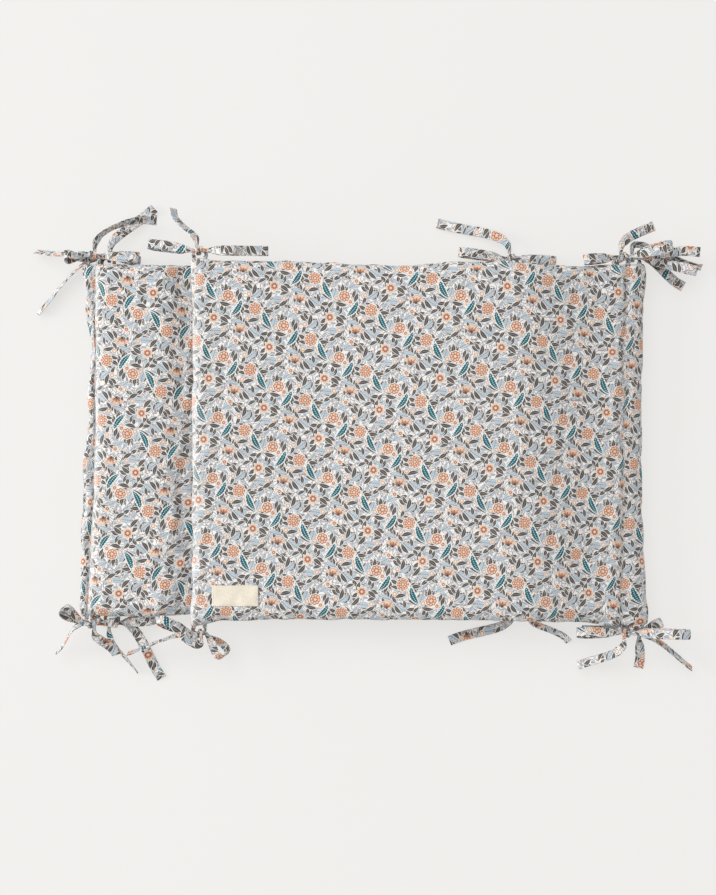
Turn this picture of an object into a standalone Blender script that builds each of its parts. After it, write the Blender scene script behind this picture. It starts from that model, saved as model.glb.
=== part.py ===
"""A padded crib bumper with printed cotton ties, folded in three and lying flat.

One long quilted strip: a side panel, a narrow spine, a middle panel, a second spine and the
other side panel. It is folded back and forth, so three panels lie on each other, and the
right-hand fold, which has only two of them under it, sags to the floor. Pairs of cotton
strips are sewn into the long seams and knotted in bows.

Metres. +X runs along the folded length, +Y to the edge with the bumper's upper ties, +Z up.
The origin is on the floor, under the middle of the whole object.
"""

import math
from collections import namedtuple

import bpy
import bmesh
import numpy as np
from mathutils import Vector
from mathutils.bvhtree import BVHTree

# Padding: half thicknesses, and how far from a seam a panel takes to swell to them.
PANEL_HALF = 0.0108
SPINE_HALF = 0.0050
SPINE_INSIDE = 0.0018
STITCH_HALF = 0.0013
SPINE_RUN = 0.040
SWELL_AT_RIM = 0.020
SWELL_AT_STITCH = 0.016
SWELL_POWER = 2.3

# Layers: the height of the lowest panel's middle, from one panel's middle to the next, and
# how far the middle line sinks at a long seam and at the cover's free end.
UNDER_HEIGHT = PANEL_HALF
LAYER_PITCH = 0.0235
SEAM_SINKS = 0.0030
FREE_END_SINKS = 0.0050

# The cover's free end presses on the layers below: how much thinner half their padding is,
# and its share along X.
PRESSED = 0.0024
PRESS_ROWS = ((-0.238, 0.0), (-0.174, 1.0), (-0.080, 1.0), (0.120, 0.0))

# The right-hand fold sags by one layer between these two places, past the under panel's end.
SAG_STARTS = 0.1595
SAG_ENDS = 0.2775

# Where each panel ends along X, and how the ends and folds draw in between their corners.
COVER_END = -0.1968
UNDER_END = 0.1875
END_DRAWN_IN = 0.0034
RIGHT_STITCH = 0.2878
RIGHT_STITCH_SKEW = 0.0027
RIGHT_FOLD = 0.3107
RIGHT_FOLD_DRAWN_IN = 0.0075
LEFT_STITCH = -0.3080
LEFT_STITCH_SKEW = 0.0085
LEFT_FOLD_ROWS = (  # share of the half height, outer face of the fold
    (-1.0, -0.3290),
    (-0.6, -0.3273),
    (-0.2, -0.3252),
    (0.2, -0.3185),
    (0.5, -0.3165),
    (0.8, -0.3222),
    (1.0, -0.3270),
)
FOLD_POWERS = {"right_spine": 1.35, "left_spine": 0.8}    # how pointed, from 0.8 round to 2

# The long seams, drawn in unevenly: section, share of its length, upper seam, base seam.
SEAM_ROWS = (
    ("cover", 0.00, 0.2088, -0.2055),
    ("cover", 0.08, 0.2062, -0.1998),
    ("cover", 0.20, 0.2058, -0.1985),
    ("cover", 0.48, 0.2003, -0.1984),
    ("cover", 0.60, 0.2042, -0.1986),
    ("cover", 0.70, 0.2046, -0.1988),
    ("cover", 0.85, 0.2009, -0.2012),
    ("cover", 1.00, 0.2030, -0.2062),
    ("right_spine", 0.00, 0.2030, -0.2062),
    ("right_spine", 0.50, 0.2052, -0.2070),
    ("right_spine", 1.00, 0.1990, -0.2005),
    ("middle", 0.00, 0.1990, -0.2005),
    ("middle", 0.30, 0.1955, -0.1960),
    ("middle", 0.75, 0.2020, -0.1925),
    ("middle", 0.89, 0.2028, -0.1970),
    ("middle", 1.00, 0.2036, -0.1955),
    ("left_spine", 0.00, 0.2036, -0.1955),
    ("left_spine", 0.50, 0.2050, -0.1975),
    ("left_spine", 1.00, 0.2020, -0.1945),
    ("under", 0.00, 0.2020, -0.1945),
    ("under", 0.50, 0.1965, -0.1905),
    ("under", 1.00, 0.1985, -0.1940),
)
SECTIONS = ("cover", "right_spine", "middle", "left_spine", "under")

# How finely the strip is cut into faces.
RIM_SHARES = (0.0, 0.07, 0.25, 0.55, 1.0)
PANEL_STEP = 0.055
SAG_STEP = 0.020
SPINE_STEPS = 10
HEIGHT_STEPS = 7

# The label, sewn near the cover panel's lower free corner.
LABEL_SIZE = (0.0516, 0.0234)
LABEL_MIDDLE = (-0.1495, -0.1701)
LABEL_THICK = 0.0008
LABEL_CLEARANCE = 0.0004
LABEL_STEPS = (14, 7)

# Ties: a folded cotton strip, how it leaves its seam and how it is gathered inside a knot.
STRIP_WIDTH = 0.0115
STRIP_THICK = 0.0012
STRIP_IN_KNOT = 0.0040
STRIP_AT_SEAM = 0.0050
STRIP_STEP = 0.0075
SEAM_CLEARANCE = 0.0006
ROOTS_FROM_KNOT = 0.0065
ROOTS_APART = 0.0080
ROOTS_FROM_END = 0.0030
ROOT_STRAIGHT = 0.0012
ROOT_ASIDE = 0.0074
ROOT_BELOW = 0.0056
LONG_ROOT = 0.0120
ROOT_HANGS_AT = 0.6
ENTRY_ASIDE = 0.0064
ENTRY_BELOW = 0.0018
THROUGH_KNOT = (0.0040, -0.0040, -0.0070)
KNOT_LEVEL = 0.0021
KNOT_REACH = 0.0070
WRAP_WIDE = 0.0041
WRAP_HIGH = 0.0047
WRAP_PITCH = 0.0056
WRAP_KEYS = 12
WRAP_POWER = 0.5
WRAP_ENTRY = (0.0040, 0.0002)
WRAP_LEAVES = (0.0050, 0.0044)
LOOP_STARTS = 0.0150
LOOP_KEYS = (  # metres out from the knot, share of the rest, side, opening, turn, width
    (0.0040, 0.00, -0.5, 0.0, 0.00, 0.42),
    (0.0090, 0.00, -0.5, 0.0, 0.35, 0.70),
    (0.0150, 0.00, -0.5, 0.0, 0.75, 0.92),
    (0.0150, 0.55, -0.5, 0.0, 1.00, 1.00),
    (0.0150, 0.88, -0.4, 0.1, 1.00, 1.00),
    (0.0150, 1.00, 0.0, 0.5, 1.00, 1.00),
    (0.0150, 0.88, 0.4, 0.9, 1.00, 1.00),
    (0.0150, 0.55, 0.5, 1.0, 1.00, 1.00),
    (0.0150, 0.00, 0.5, 0.6, 0.75, 0.92),
    (0.0090, 0.00, 0.5, 0.2, 0.35, 0.70),
    (0.0040, 0.00, 0.5, 0.0, 0.00, 0.42),
)
TAIL_STARTS = 0.0042
TAIL_START_WIDTH = 0.45
TAIL_KEYS = (  # share of the length, width
    (0.12, 0.70),
    (0.27, 0.95),
    (0.45, 1.00),
    (0.64, 1.00),
    (0.83, 1.00),
    (1.00, 1.00),
)
TAIL_BENDS = (0.25, 0.35)  # how far a tail runs straight out of its knot and into its tip
TAIL_SETTLES = 0.1
TAIL_TURNED_BY = 0.3
TIP_TURN_POWER = 3.0

# Headings and turns are in degrees: heading 0 is +X, 90 is +Y, and turn 0 is a strip lying
# flat, 90 a strip on its edge. Heights are above the floor.
Loop = namedtuple("Loop", "heading reach spread height turn")
Tail = namedtuple("Tail", "heading reach ends height turn end_turn")
Bow = namedtuple("Bow", "panel knot hand loop_a loop_b tail_a tail_b")
BOWS = {
    "left_fold_top_high": Bow(
        "middle", (-0.3125, 0.2125, 0.0330), -1,
        Loop(-2, 0.0522, 0.0082, 0.0324, 11), Loop(-175, 0.0302, 0.0111, 0.0418, 30),
        Tail(174, 0.0696, 170, 0.0091, 58, 62), Tail(30, 0.0822, -10, 0.0229, 80, 12),
    ),
    "left_fold_top_low": Bow(
        "under", (-0.2985, 0.2120, 0.0090), -1,
        Loop(-5, 0.0366, 0.0069, 0.0097, 7), Loop(-182, 0.0325, 0.0087, 0.0202, -1),
        Tail(-142, 0.1028, -133, 0.0065, 72, 55), Tail(48, 0.0781, 48, 0.0049, 6, 0),
    ),
    "right_fold_top_high": Bow(
        "cover", (0.2870, 0.2109, 0.0345), 1,
        Loop(-174, 0.0460, 0.0063, 0.0462, 11), Loop(12, 0.0530, 0.0103, 0.0543, 21),
        Tail(4, 0.0888, -11, 0.0264, -7, 0), Tail(45, 0.0505, 25, 0.0294, 15, 8),
    ),
    "right_fold_top_low": Bow(
        "middle", (0.3030, 0.2125, 0.0100), 1,
        Loop(-172, 0.0252, 0.0111, 0.0099, 0), Loop(-14, 0.0709, 0.0081, 0.0279, 12),
        Tail(-29, 0.0665, -23, 0.0018, 0, 2), Tail(-9, 0.0766, -5, 0.0202, 63, 59),
    ),
    "cover_end_top": Bow(
        "cover", (-0.1905, 0.2168, 0.0455), 1,
        Loop(172, 0.0584, 0.0080, 0.0408, 12), Loop(-1, 0.0407, 0.0067, 0.0520, 5),
        Tail(0, 0.0770, 0, 0.0418, 4, 6), Tail(122, 0.0574, 85, 0.0350, 62, 50),
    ),
    "under_end_top": Bow(
        "under", (0.1627, 0.2120, 0.0090), 1,
        Loop(173, 0.0601, 0.0080, 0.0100, 4), Loop(-4, 0.0512, 0.0060, 0.0123, 12),
        Tail(-15, 0.0314, -28, 0.0025, 0, 9), Tail(154, 0.0940, 160, 0.0030, 5, 0),
    ),
    "left_fold_base_high": Bow(
        "middle", (-0.3130, -0.2037, 0.0330), 1,
        Loop(1, 0.0272, 0.0060, 0.0242, -3), Loop(150, 0.0363, 0.0130, 0.0496, 53),
        Tail(-141, 0.0551, -138, 0.0180, 76, 80), Tail(-56, 0.0447, -75, 0.0188, 10, 14),
    ),
    "left_fold_base_low": Bow(
        "under", (-0.2940, -0.2050, 0.0100), -1,
        Loop(172, 0.0249, 0.0060, 0.0089, -1), Loop(6, 0.0509, 0.0069, 0.0223, 13),
        Tail(-49, 0.0854, -55, 0.0027, 6, -3), Tail(-63, 0.0647, -57, 0.0085, 60, 80),
    ),
    "cover_end_base": Bow(
        "cover", (-0.1912, -0.2135, 0.0440), 1,
        Loop(-43, 0.0386, 0.0175, 0.0304, 39), Loop(160, 0.0478, 0.0084, 0.0544, 35),
        Tail(-163, 0.0872, -163, 0.0225, 80, 74), Tail(156, 0.0287, 120, 0.0615, 6, -3),
    ),
    "right_fold_base_high": Bow(
        "cover", (0.2905, -0.2141, 0.0340), -1,
        Loop(179, 0.0560, 0.0090, 0.0400, 17), Loop(0, 0.0693, 0.0060, 0.0500, 4),
        Tail(-29, 0.0895, -38, 0.0123, -60, -66), Tail(-143, 0.0650, -157, 0.0138, 45, 35),
    ),
    "right_fold_base_low": Bow(
        "middle", (0.3055, -0.2140, 0.0100), 1,
        Loop(18, 0.0316, 0.0060, 0.0090, 0), Loop(155, 0.0275, 0.0070, 0.0165, -3),
        Tail(180, 0.0609, 178, 0.0040, 0, 6), Tail(-85, 0.0435, -107, 0.0018, -14, 0),
    ),
}

# The under panel's lower free corner: its two strips lie untied on the floor.
Strip = namedtuple("Strip", "sewn_at leaves heading reach ends height turn")
LOOSE_STRIPS = {
    "under_end_base_a": Strip(0.1680, -132, -157, 0.0820, -155, 0.0018, 0),
    "under_end_base_b": Strip(0.1815, -55, -34, 0.0579, -54, 0.0058, 50),
}
LOOSE_STARTS = (0, 0.0030, 0.0006)
LOOSE_DROPS = 0.1

FINISHES = {  # linear colour, roughness
    "printed_cotton": ((0.49, 0.46, 0.43), 0.85),
    "label_cloth": ((0.84, 0.78, 0.60), 0.60),
}


def swell(distance, reach):
    """How full the padding is at a distance from a seam, from 0 at the seam to 1."""
    left = 1.0 - min(max(distance / reach, 0.0), 1.0)
    return (1.0 - left**SWELL_POWER) ** (1.0 / SWELL_POWER)


def ease(share):
    share = min(max(share, 0.0), 1.0)
    return share * share * (3.0 - 2.0 * share)


def between(rows, at):
    """A smooth value read from rows of (place, value)."""
    for (low, first), (high, second) in zip(rows, rows[1:]):
        if at <= high:
            return first + (second - first) * ease((at - low) / (high - low))
    return rows[-1][1]


def signed_power(value, power):
    return math.copysign(abs(value) ** power, value)


def left_stitch(side):
    return LEFT_STITCH - LEFT_STITCH_SKEW * max(0.1 - side, 0.0) ** 1.5


def right_stitch(side):
    return RIGHT_STITCH + RIGHT_STITCH_SKEW * side


def seam(section, share, upper):
    """Y of a long seam at a share of a section's length."""
    rows = [(at, top if upper else base) for name, at, top, base in SEAM_ROWS if name == section]
    return between(rows, share)


def line_of(section, share, side):
    """X and Z of the strip's middle line, where side runs from -1 at the base seam to 1."""
    left, right = left_stitch(side), right_stitch(side)
    if section == "cover":
        free = COVER_END - END_DRAWN_IN * side**6
        x = free + (right - free) * share
        sunk = FREE_END_SINKS * (1 - swell(x - free, SWELL_AT_RIM))
        return x, UNDER_HEIGHT + 2 * LAYER_PITCH - sag(x) - 4 * pressed(x) - sunk
    if section == "middle":
        x = right + (left - right) * share
        return x, UNDER_HEIGHT + LAYER_PITCH - sag(x) - 3 * pressed(x)
    if section == "under":
        free = UNDER_END + END_DRAWN_IN * side**6
        x = left + (free - left) * share
        return x, UNDER_HEIGHT - pressed(x)
    power = FOLD_POWERS[section]
    bulge = math.sin(math.pi * share) ** power
    z = UNDER_HEIGHT + LAYER_PITCH / 2 * (1 + signed_power(math.cos(math.pi * share), power))
    if section == "right_spine":
        outer = RIGHT_FOLD + RIGHT_FOLD_DRAWN_IN * abs(side - 0.1) ** 2.2 - SPINE_HALF
        return right + (outer - right) * bulge, z
    outer = between(LEFT_FOLD_ROWS, side) + SPINE_HALF
    return left + (outer - left) * bulge, z


def pressed(x):
    return PRESSED * between(PRESS_ROWS, x)


def sag(x):
    return LAYER_PITCH * ease((x - SAG_STARTS) / (SAG_ENDS - SAG_STARTS))


def half_thickness(section, face, from_start, from_end):
    """Half the padding on one face at two distances along the strip, before the long seams
    thin it. A spine is full on the outside of its fold only."""
    if section in ("right_spine", "left_spine"):
        outside = "front" if section == "right_spine" else "back"
        half = SPINE_HALF if face == outside else SPINE_INSIDE
        return STITCH_HALF + (half - STITCH_HALF) * swell(min(from_start, from_end), SWELL_AT_STITCH / 2)
    free_start, free_end = section == "cover", section == "under"
    half = PANEL_HALF
    for distance, free in ((from_start, free_start), (from_end, free_end)):
        reach, least = (SWELL_AT_RIM, 0.0) if free else (SWELL_AT_STITCH, STITCH_HALF)
        half = min(half, least + (PANEL_HALF - least) * swell(distance, reach))
    return half


def panel_shares(start, end, start_reach, end_reach):
    """Shares along a panel from X start to X end, closer where it swells, bends and sags."""
    length = end - start
    toward = math.copysign(1.0, length)
    first = [start + toward * reach * start_reach for reach in RIM_SHARES]
    last = [end - toward * reach * end_reach for reach in reversed(RIM_SHARES)]
    low, high = sorted((first[-1], last[0]))
    bends = (*(x for x, _ in PRESS_ROWS), SAG_STARTS, SAG_ENDS)
    stops = [low, *(x for x in bends if low < x < high), high]
    inner = []
    for one, two in zip(stops, stops[1:]):
        step = SAG_STEP if one >= SAG_STARTS else PANEL_STEP
        inner += list(np.linspace(one, two, math.ceil((two - one) / step) + 1)[:-1])
    inner = inner[1:] if toward > 0 else inner[:0:-1]
    return [(x - start) / length for x in (*first, *inner, *last)]


def stations():
    """Every place along the strip where the mesh has a row, as (section, share)."""
    found = []
    for section in SECTIONS:
        if section.endswith("spine"):
            shares = np.linspace(0, 1, SPINE_STEPS + 1)
        else:
            ends = [line_of(section, share, 0.0)[0] for share in (0, 1)]
            reaches = [
                SWELL_AT_RIM if free else SWELL_AT_STITCH
                for free in (section == "cover", section == "under")
            ]
            shares = panel_shares(*ends, *reaches)
        found += [(section, share) for share in shares[(1 if found else 0):]]
    return found


def bumper_surfaces():
    """The strip's two faces as grids of points, [station][height]: front, back."""
    rows = stations()
    heights = [reach * SWELL_AT_RIM for reach in RIM_SHARES]
    middle, halves = [], {"front": [], "back": []}
    for section, share in rows:
        top, base = seam(section, share, True), seam(section, share, False)
        inner = np.linspace(base + heights[-1], top - heights[-1], HEIGHT_STEPS + 2)[1:-1]
        across = [base + d for d in heights] + list(inner) + [top - d for d in reversed(heights)]
        line, thick = [], {"front": [], "back": []}
        for y in across:
            side = (2 * y - top - base) / (top - base)
            x, z = line_of(section, share, side)
            start, end = (line_of(section, at, side) for at in (0, 1))
            run = abs(end[0] - start[0]) if "spine" not in section else SPINE_RUN
            full = swell(min(y - base, top - y), SWELL_AT_RIM)
            line.append((x, y, z - SEAM_SINKS * (1 - full)))
            for face in halves:
                half = half_thickness(section, face, run * share, run * (1 - share))
                if section in ("middle", "under"):
                    half *= 1 - pressed(x) / PANEL_HALF
                thick[face].append(full * half)
        middle.append(line)
        for face in halves:
            halves[face].append(thick[face])
    middle = np.array(middle)
    along = np.gradient(middle, axis=0)
    normal = np.stack([-along[..., 2], np.zeros(middle.shape[:2]), along[..., 0]], axis=2)
    normal /= np.linalg.norm(normal, axis=2, keepdims=True)
    front = middle + normal * np.array(halves["front"])[..., None]
    back = middle - normal * np.array(halves["back"])[..., None]
    for face in (front, back):
        face[..., 2] = np.maximum(face[..., 2], 0.0)
    return front, back


def add_object(name, mesh, finish):
    """A finished mesh as a named object with its own plain material."""
    color, roughness = FINISHES[finish]
    material = bpy.data.materials.new(name)
    material.use_nodes = True
    shader = material.node_tree.nodes["Principled BSDF"]
    shader.inputs["Base Color"].default_value = (*color, 1.0)
    shader.inputs["Roughness"].default_value = roughness
    shader.inputs["Metallic"].default_value = 0.0
    bmesh.ops.recalc_face_normals(mesh, faces=mesh.faces)
    data = bpy.data.meshes.new(name)
    mesh.to_mesh(data)
    mesh.free()
    data.materials.append(material)
    data.shade_smooth()
    thing = bpy.data.objects.new(name, data)
    bpy.context.scene.collection.objects.link(thing)
    return thing


def closed_pad(front, back):
    """A mesh of two grids that share their outermost points."""
    mesh = bmesh.new()
    rows, columns = front.shape[:2]
    sheets = []
    for points in (front, back):
        sheet = []
        for i in range(rows):
            rim = i in (0, rows - 1)
            shared = [sheets and (rim or j in (0, columns - 1)) for j in range(columns)]
            sheet.append([
                sheets[0][i][j] if shared[j] else mesh.verts.new(points[i, j])
                for j in range(columns)
            ])
        sheets.append(sheet)
    for sheet in sheets:
        for i in range(rows - 1):
            for j in range(columns - 1):
                a, b = sheet[i][j], sheet[i + 1][j]
                c, d = sheet[i + 1][j + 1], sheet[i][j + 1]
                if i in (0, rows - 2) and j in (0, columns - 2):
                    # The two sheets share three points here: cut through the fourth.
                    if (i == 0) != (j == 0):
                        a, b, c, d = b, c, d, a
                    mesh.faces.new((a, b, c))
                    mesh.faces.new((a, c, d))
                else:
                    mesh.faces.new((a, b, c, d))
    return mesh


def build_bumper():
    return add_object("bumper", closed_pad(*bumper_surfaces()), "printed_cotton")


def build_label(bumper):
    """A blank woven label that follows the cover panel's face, a hair above it."""
    mesh = bmesh.new()
    mesh.from_mesh(bumper.data)
    face = BVHTree.FromBMesh(mesh)
    mesh.free()
    wide, high = LABEL_STEPS
    label = bmesh.new()
    sheets = []
    for lift in (LABEL_CLEARANCE, LABEL_CLEARANCE + LABEL_THICK):
        sheet = []
        for i in range(wide + 1):
            column = []
            for j in range(high + 1):
                x = LABEL_MIDDLE[0] + LABEL_SIZE[0] * (i / wide - 0.5)
                y = LABEL_MIDDLE[1] + LABEL_SIZE[1] * (j / high - 0.5)
                hit = face.ray_cast(Vector((x, y, 1.0)), Vector((0, 0, -1)))[0]
                column.append(label.verts.new((x, y, hit.z + lift)))
            sheet.append(column)
        sheets.append(sheet)
    low, top = sheets
    for sheet in sheets:
        for i in range(wide):
            for j in range(high):
                label.faces.new((sheet[i][j], sheet[i + 1][j], sheet[i + 1][j + 1], sheet[i][j + 1]))
    round_it = [(i, 0) for i in range(wide)] + [(wide, j) for j in range(high)]
    round_it += [(i, high) for i in range(wide, 0, -1)] + [(0, j) for j in range(high, 0, -1)]
    for (a, b), (c, d) in zip(round_it, round_it[1:] + round_it[:1]):
        label.faces.new((low[a][b], low[c][d], top[c][d], top[a][b]))
    return add_object("label", label, "label_cloth")


def direction(heading):
    return Vector((math.cos(math.radians(heading)), math.sin(math.radians(heading)), 0.0))


def rolled(along, turn):
    """Which way a strip's width points, for a strip that runs along and is turned on its line."""
    side = Vector((0, 0, 1)).cross(along).normalized()
    rise = along.cross(side).normalized()
    return side * math.cos(math.radians(turn)) + rise * math.sin(math.radians(turn))


def rim_of(panel, upper):
    """The long seam that a panel's ties are sewn to, as points in order of X: the panel's
    own rim, and round each fold as far as the spine's middle."""
    front = bumper_surfaces()[0]
    spans = {
        "cover": (("cover", 0, 1), ("right_spine", 0, 0.5)),
        "middle": (("right_spine", 0.5, 1), ("middle", 0, 1), ("left_spine", 0, 0.5)),
        "under": (("left_spine", 0.5, 1), ("under", 0, 1)),
    }[panel]
    rim = []
    for (section, share), column in zip(stations(), front):
        if any(section == name and low <= share <= high for name, low, high in spans):
            rim.append(Vector(column[-1 if upper else 0]))
    return sorted(rim, key=lambda point: point.x)


def sewn_point(rim, x):
    """Where a strip leaves a long seam."""
    for one, two in zip(rim, rim[1:]):
        if x <= two.x:
            return one.lerp(two, max((x - one.x) / (two.x - one.x), 0.0))
    return rim[-1]


def loop_keys(first, last, loop, knot):
    """A loop of strip that leaves the knot at one place and comes back to another above it.
    Both legs lie flat beside the knot, then open and turn together."""
    tip = knot + direction(loop.heading) * loop.reach
    tip.z = loop.height
    start = (first + last) / 2
    run = tip - start
    along = Vector((run.x, run.y, 0)).normalized()
    length = Vector((run.x, run.y)).length
    apart = (last - first).length
    keys = []
    for out, share, side, opened, turned, width in LOOP_KEYS:
        reach = out + (length - LOOP_STARTS) * share
        way = rolled(along, loop.turn * turned)
        away = along.cross(way)
        away = away if away.z >= 0 else -away
        place = start + along * reach + Vector((0, 0, run.z * ease(reach / length)))
        leg = Vector((0, 0, apart)).lerp(away * apart, turned) * side
        opening = away * (loop.spread - apart) * (opened - 0.5 * turned)
        keys.append((place + leg + opening, way, STRIP_WIDTH * width))
    return keys


def tail_keys(start, leaves, knot, tail):
    """A free end: it leaves the knot level and flat, bends, and ends square at its tip."""
    tip = knot + direction(tail.heading) * tail.reach
    tip.z = tail.height
    clear = start + leaves * TAIL_STARTS
    length = (tip - clear).length
    bend_out = clear + leaves * length * TAIL_BENDS[0]
    bend_in = tip - direction(tail.ends) * length * TAIL_BENDS[1]
    bend_in.z = tip.z + (start.z - tip.z) * TAIL_SETTLES
    found = [(clear, rolled(leaves, 0), STRIP_WIDTH * TAIL_START_WIDTH)]
    for share, width in TAIL_KEYS:
        back = 1.0 - share
        place = (
            clear * back**3 + bend_out * (3 * back**2 * share)
            + bend_in * (3 * back * share**2) + tip * share**3
        )
        along = (
            (bend_out - clear) * back**2 + (bend_in - bend_out) * (2 * back * share)
            + (tip - bend_in) * share**2
        ).normalized()
        turn = tail.turn + (tail.end_turn - tail.turn) * share**TIP_TURN_POWER
        turn *= min(share / TAIL_TURNED_BY, 1.0)
        found.append((place, rolled(along, turn), STRIP_WIDTH * width))
    return found


def swept_strip(name, keys):
    """Sweeps the strip's flat section smoothly through its keys: place, width's way, width."""
    places = [key[0] for key in keys]
    ways = [keys[0][1]]
    for key in keys[1:]:
        ways.append(key[1] if key[1].dot(ways[-1]) >= 0 else -key[1])
    knots = [0.0]
    for one, two in zip(places, places[1:]):
        knots.append(knots[-1] + math.sqrt((two - one).length))
    line = []
    for i in range(len(keys) - 1):
        steps = max(1, round((places[i + 1] - places[i]).length / STRIP_STEP))
        for step in range(steps + (1 if i == len(keys) - 2 else 0)):
            share = step / steps
            place = smooth_place(places, knots, i, share)
            way = ways[i].lerp(ways[i + 1], share)
            width = keys[i][2] + (keys[i + 1][2] - keys[i][2]) * share
            line.append((place, way, width))
    mesh = bmesh.new()
    rings = []
    for i, (place, way, width) in enumerate(line):
        along = (line[min(i + 1, len(line) - 1)][0] - line[max(i - 1, 0)][0]).normalized()
        way = (way - along * way.dot(along)).normalized()
        face = along.cross(way)
        half, thick = way * width / 2, face * STRIP_THICK / 2
        corners = (half + thick, half - thick, -half - thick, -half + thick)
        rings.append([mesh.verts.new(place + corner) for corner in corners])
    for one, two in zip(rings, rings[1:]):
        for k in range(4):
            mesh.faces.new((one[k], one[(k + 1) % 4], two[(k + 1) % 4], two[k]))
    mesh.faces.new(rings[0])
    mesh.faces.new(rings[-1])
    return add_object(name, mesh, "printed_cotton")


def smooth_place(places, knots, i, share):
    """A point of the smooth curve through the places, between place i and the next."""
    one, two = places[i], places[i + 1]
    before = places[i - 1] if i else one * 2 - two
    after = places[i + 2] if i + 2 < len(places) else two * 2 - one
    t1, t2 = knots[i], knots[i + 1]
    t0 = knots[i - 1] if i else t1 - (t2 - t1)
    t3 = knots[i + 2] if i + 2 < len(knots) else t2 + (t2 - t1)
    t = t1 + (t2 - t1) * share
    a = before.lerp(one, (t - t0) / (t1 - t0))
    b = one.lerp(two, (t - t1) / (t2 - t1))
    c = two.lerp(after, (t - t2) / (t3 - t2))
    return a.lerp(b, (t - t0) / (t2 - t0)).lerp(b.lerp(c, (t - t1) / (t3 - t1)), share)


def build_bow(name, bow):
    """Two strips sewn into a seam and knotted: each makes a loop and a tail, and the second
    also wraps once round the knot. Inside the knot they pass at three levels, side by side."""
    knot = Vector(bow.knot)
    upper = knot.y > 0
    out = Vector((0, 1 if upper else -1, 0))
    up = Vector((0, 0, 1))
    right = out.cross(up) * bow.hand
    rim = rim_of(bow.panel, upper)
    low_x = max(knot.x - ROOTS_FROM_KNOT, rim[0].x + ROOTS_FROM_END)
    high_x = min(knot.x + ROOTS_FROM_KNOT, rim[-1].x - ROOTS_FROM_END)
    low_x, high_x = min(low_x, high_x - ROOTS_APART), max(high_x, low_x + ROOTS_APART)

    def at(r, o, u):
        return knot + right * r + out * o + up * u

    def root(sign, level):
        x = high_x if sign * right.x > 0 else low_x
        place = sewn_point(rim, x) + out * SEAM_CLEARANCE
        gap = (knot - place).dot(out)
        keys = [(place, right, STRIP_AT_SEAM), (place + out * ROOT_STRAIGHT, right, STRIP_AT_SEAM)]
        if gap > LONG_ROOT:
            hanging = place.lerp(at(sign * ROOT_ASIDE, -ROOT_BELOW, level), ROOT_HANGS_AT)
            keys.append((hanging, right, STRIP_AT_SEAM))
        below = min(ROOT_BELOW, gap - 2 * ROOT_STRAIGHT)
        keys.append((at(sign * ROOT_ASIDE, -below, level), right, STRIP_IN_KNOT))
        entry = at(sign * ENTRY_ASIDE, -ENTRY_BELOW, level)
        return keys + [(entry, (out + right * sign).normalized(), STRIP_IN_KNOT)]

    def through(sign, level):
        return [(at(sign * r, 0, level), out, STRIP_IN_KNOT) for r in THROUGH_KNOT]

    first = root(1, -KNOT_LEVEL) + through(1, -KNOT_LEVEL)
    first += loop_keys(at(-KNOT_REACH, 0, -KNOT_LEVEL), at(-KNOT_REACH, 0, 0), bow.loop_a, knot)
    first += [(at(-KNOT_REACH, 0, 0), out, STRIP_IN_KNOT)] + through(-1, 0.0)
    first += tail_keys(at(KNOT_REACH, 0, 0), right, knot, bow.tail_a)

    second = root(-1, KNOT_LEVEL) + through(-1, KNOT_LEVEL)
    second += loop_keys(
        at(KNOT_REACH, 0, KNOT_LEVEL), at(KNOT_REACH, 0, 2 * KNOT_LEVEL), bow.loop_b, knot
    )
    second.append((at(KNOT_REACH, 0, 2 * KNOT_LEVEL), out, STRIP_IN_KNOT))
    second.append((at(*WRAP_ENTRY, WRAP_HIGH), (right + out).normalized(), STRIP_IN_KNOT))
    for key in range(1, WRAP_KEYS + 1):
        angle = 2 * math.pi * key / WRAP_KEYS
        across = WRAP_WIDE * signed_power(math.sin(angle), WRAP_POWER)
        rise = WRAP_HIGH * signed_power(math.cos(angle), WRAP_POWER)
        along = WRAP_PITCH * (0.5 - key / WRAP_KEYS)
        second.append((at(along, across, rise), right, STRIP_IN_KNOT))
    leaving = at(-WRAP_PITCH * 0.5, *WRAP_LEAVES)
    second.append((leaving, right, STRIP_IN_KNOT))
    second += tail_keys(leaving, out, knot, bow.tail_b)
    swept_strip(f"tie_{name}_a", first)
    swept_strip(f"tie_{name}_b", second)


def build_loose_strip(name, strip):
    """A strip left untied: it leaves the seam and drops to lie on the floor."""
    seam_place = sewn_point(rim_of("under", False), strip.sewn_at) - Vector((0, SEAM_CLEARANCE, 0))
    way = Vector((1, 0, 0))
    keys = [(seam_place, way, STRIP_AT_SEAM)]
    keys.append((seam_place - Vector((0, ROOT_STRAIGHT, 0)), way, STRIP_AT_SEAM))
    leaves = direction(strip.leaves) - Vector((0, 0, LOOSE_DROPS))
    keys += tail_keys(
        seam_place - Vector(LOOSE_STARTS), leaves, seam_place,
        Tail(strip.heading, strip.reach, strip.ends, strip.height, strip.turn, strip.turn),
    )
    swept_strip(f"tie_{name}", keys)


def main():
    for thing in list(bpy.data.objects):
        bpy.data.objects.remove(thing)
    bumper = build_bumper()
    build_label(bumper)
    for name, bow in BOWS.items():
        build_bow(name, bow)
    for name, strip in LOOSE_STRIPS.items():
        build_loose_strip(name, strip)


main()
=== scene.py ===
"""The looks of a padded crib bumper in printed cotton, folded in three and lying flat.

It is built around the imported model, in metres: +X runs along the folded length, +Y across it
and +Z up, with the origin on the floor under the middle of the object.
"""

import math
from collections import namedtuple

import bmesh
import bpy
import numpy as np
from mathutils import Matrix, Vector
from mathutils.bvhtree import BVHTree


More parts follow.
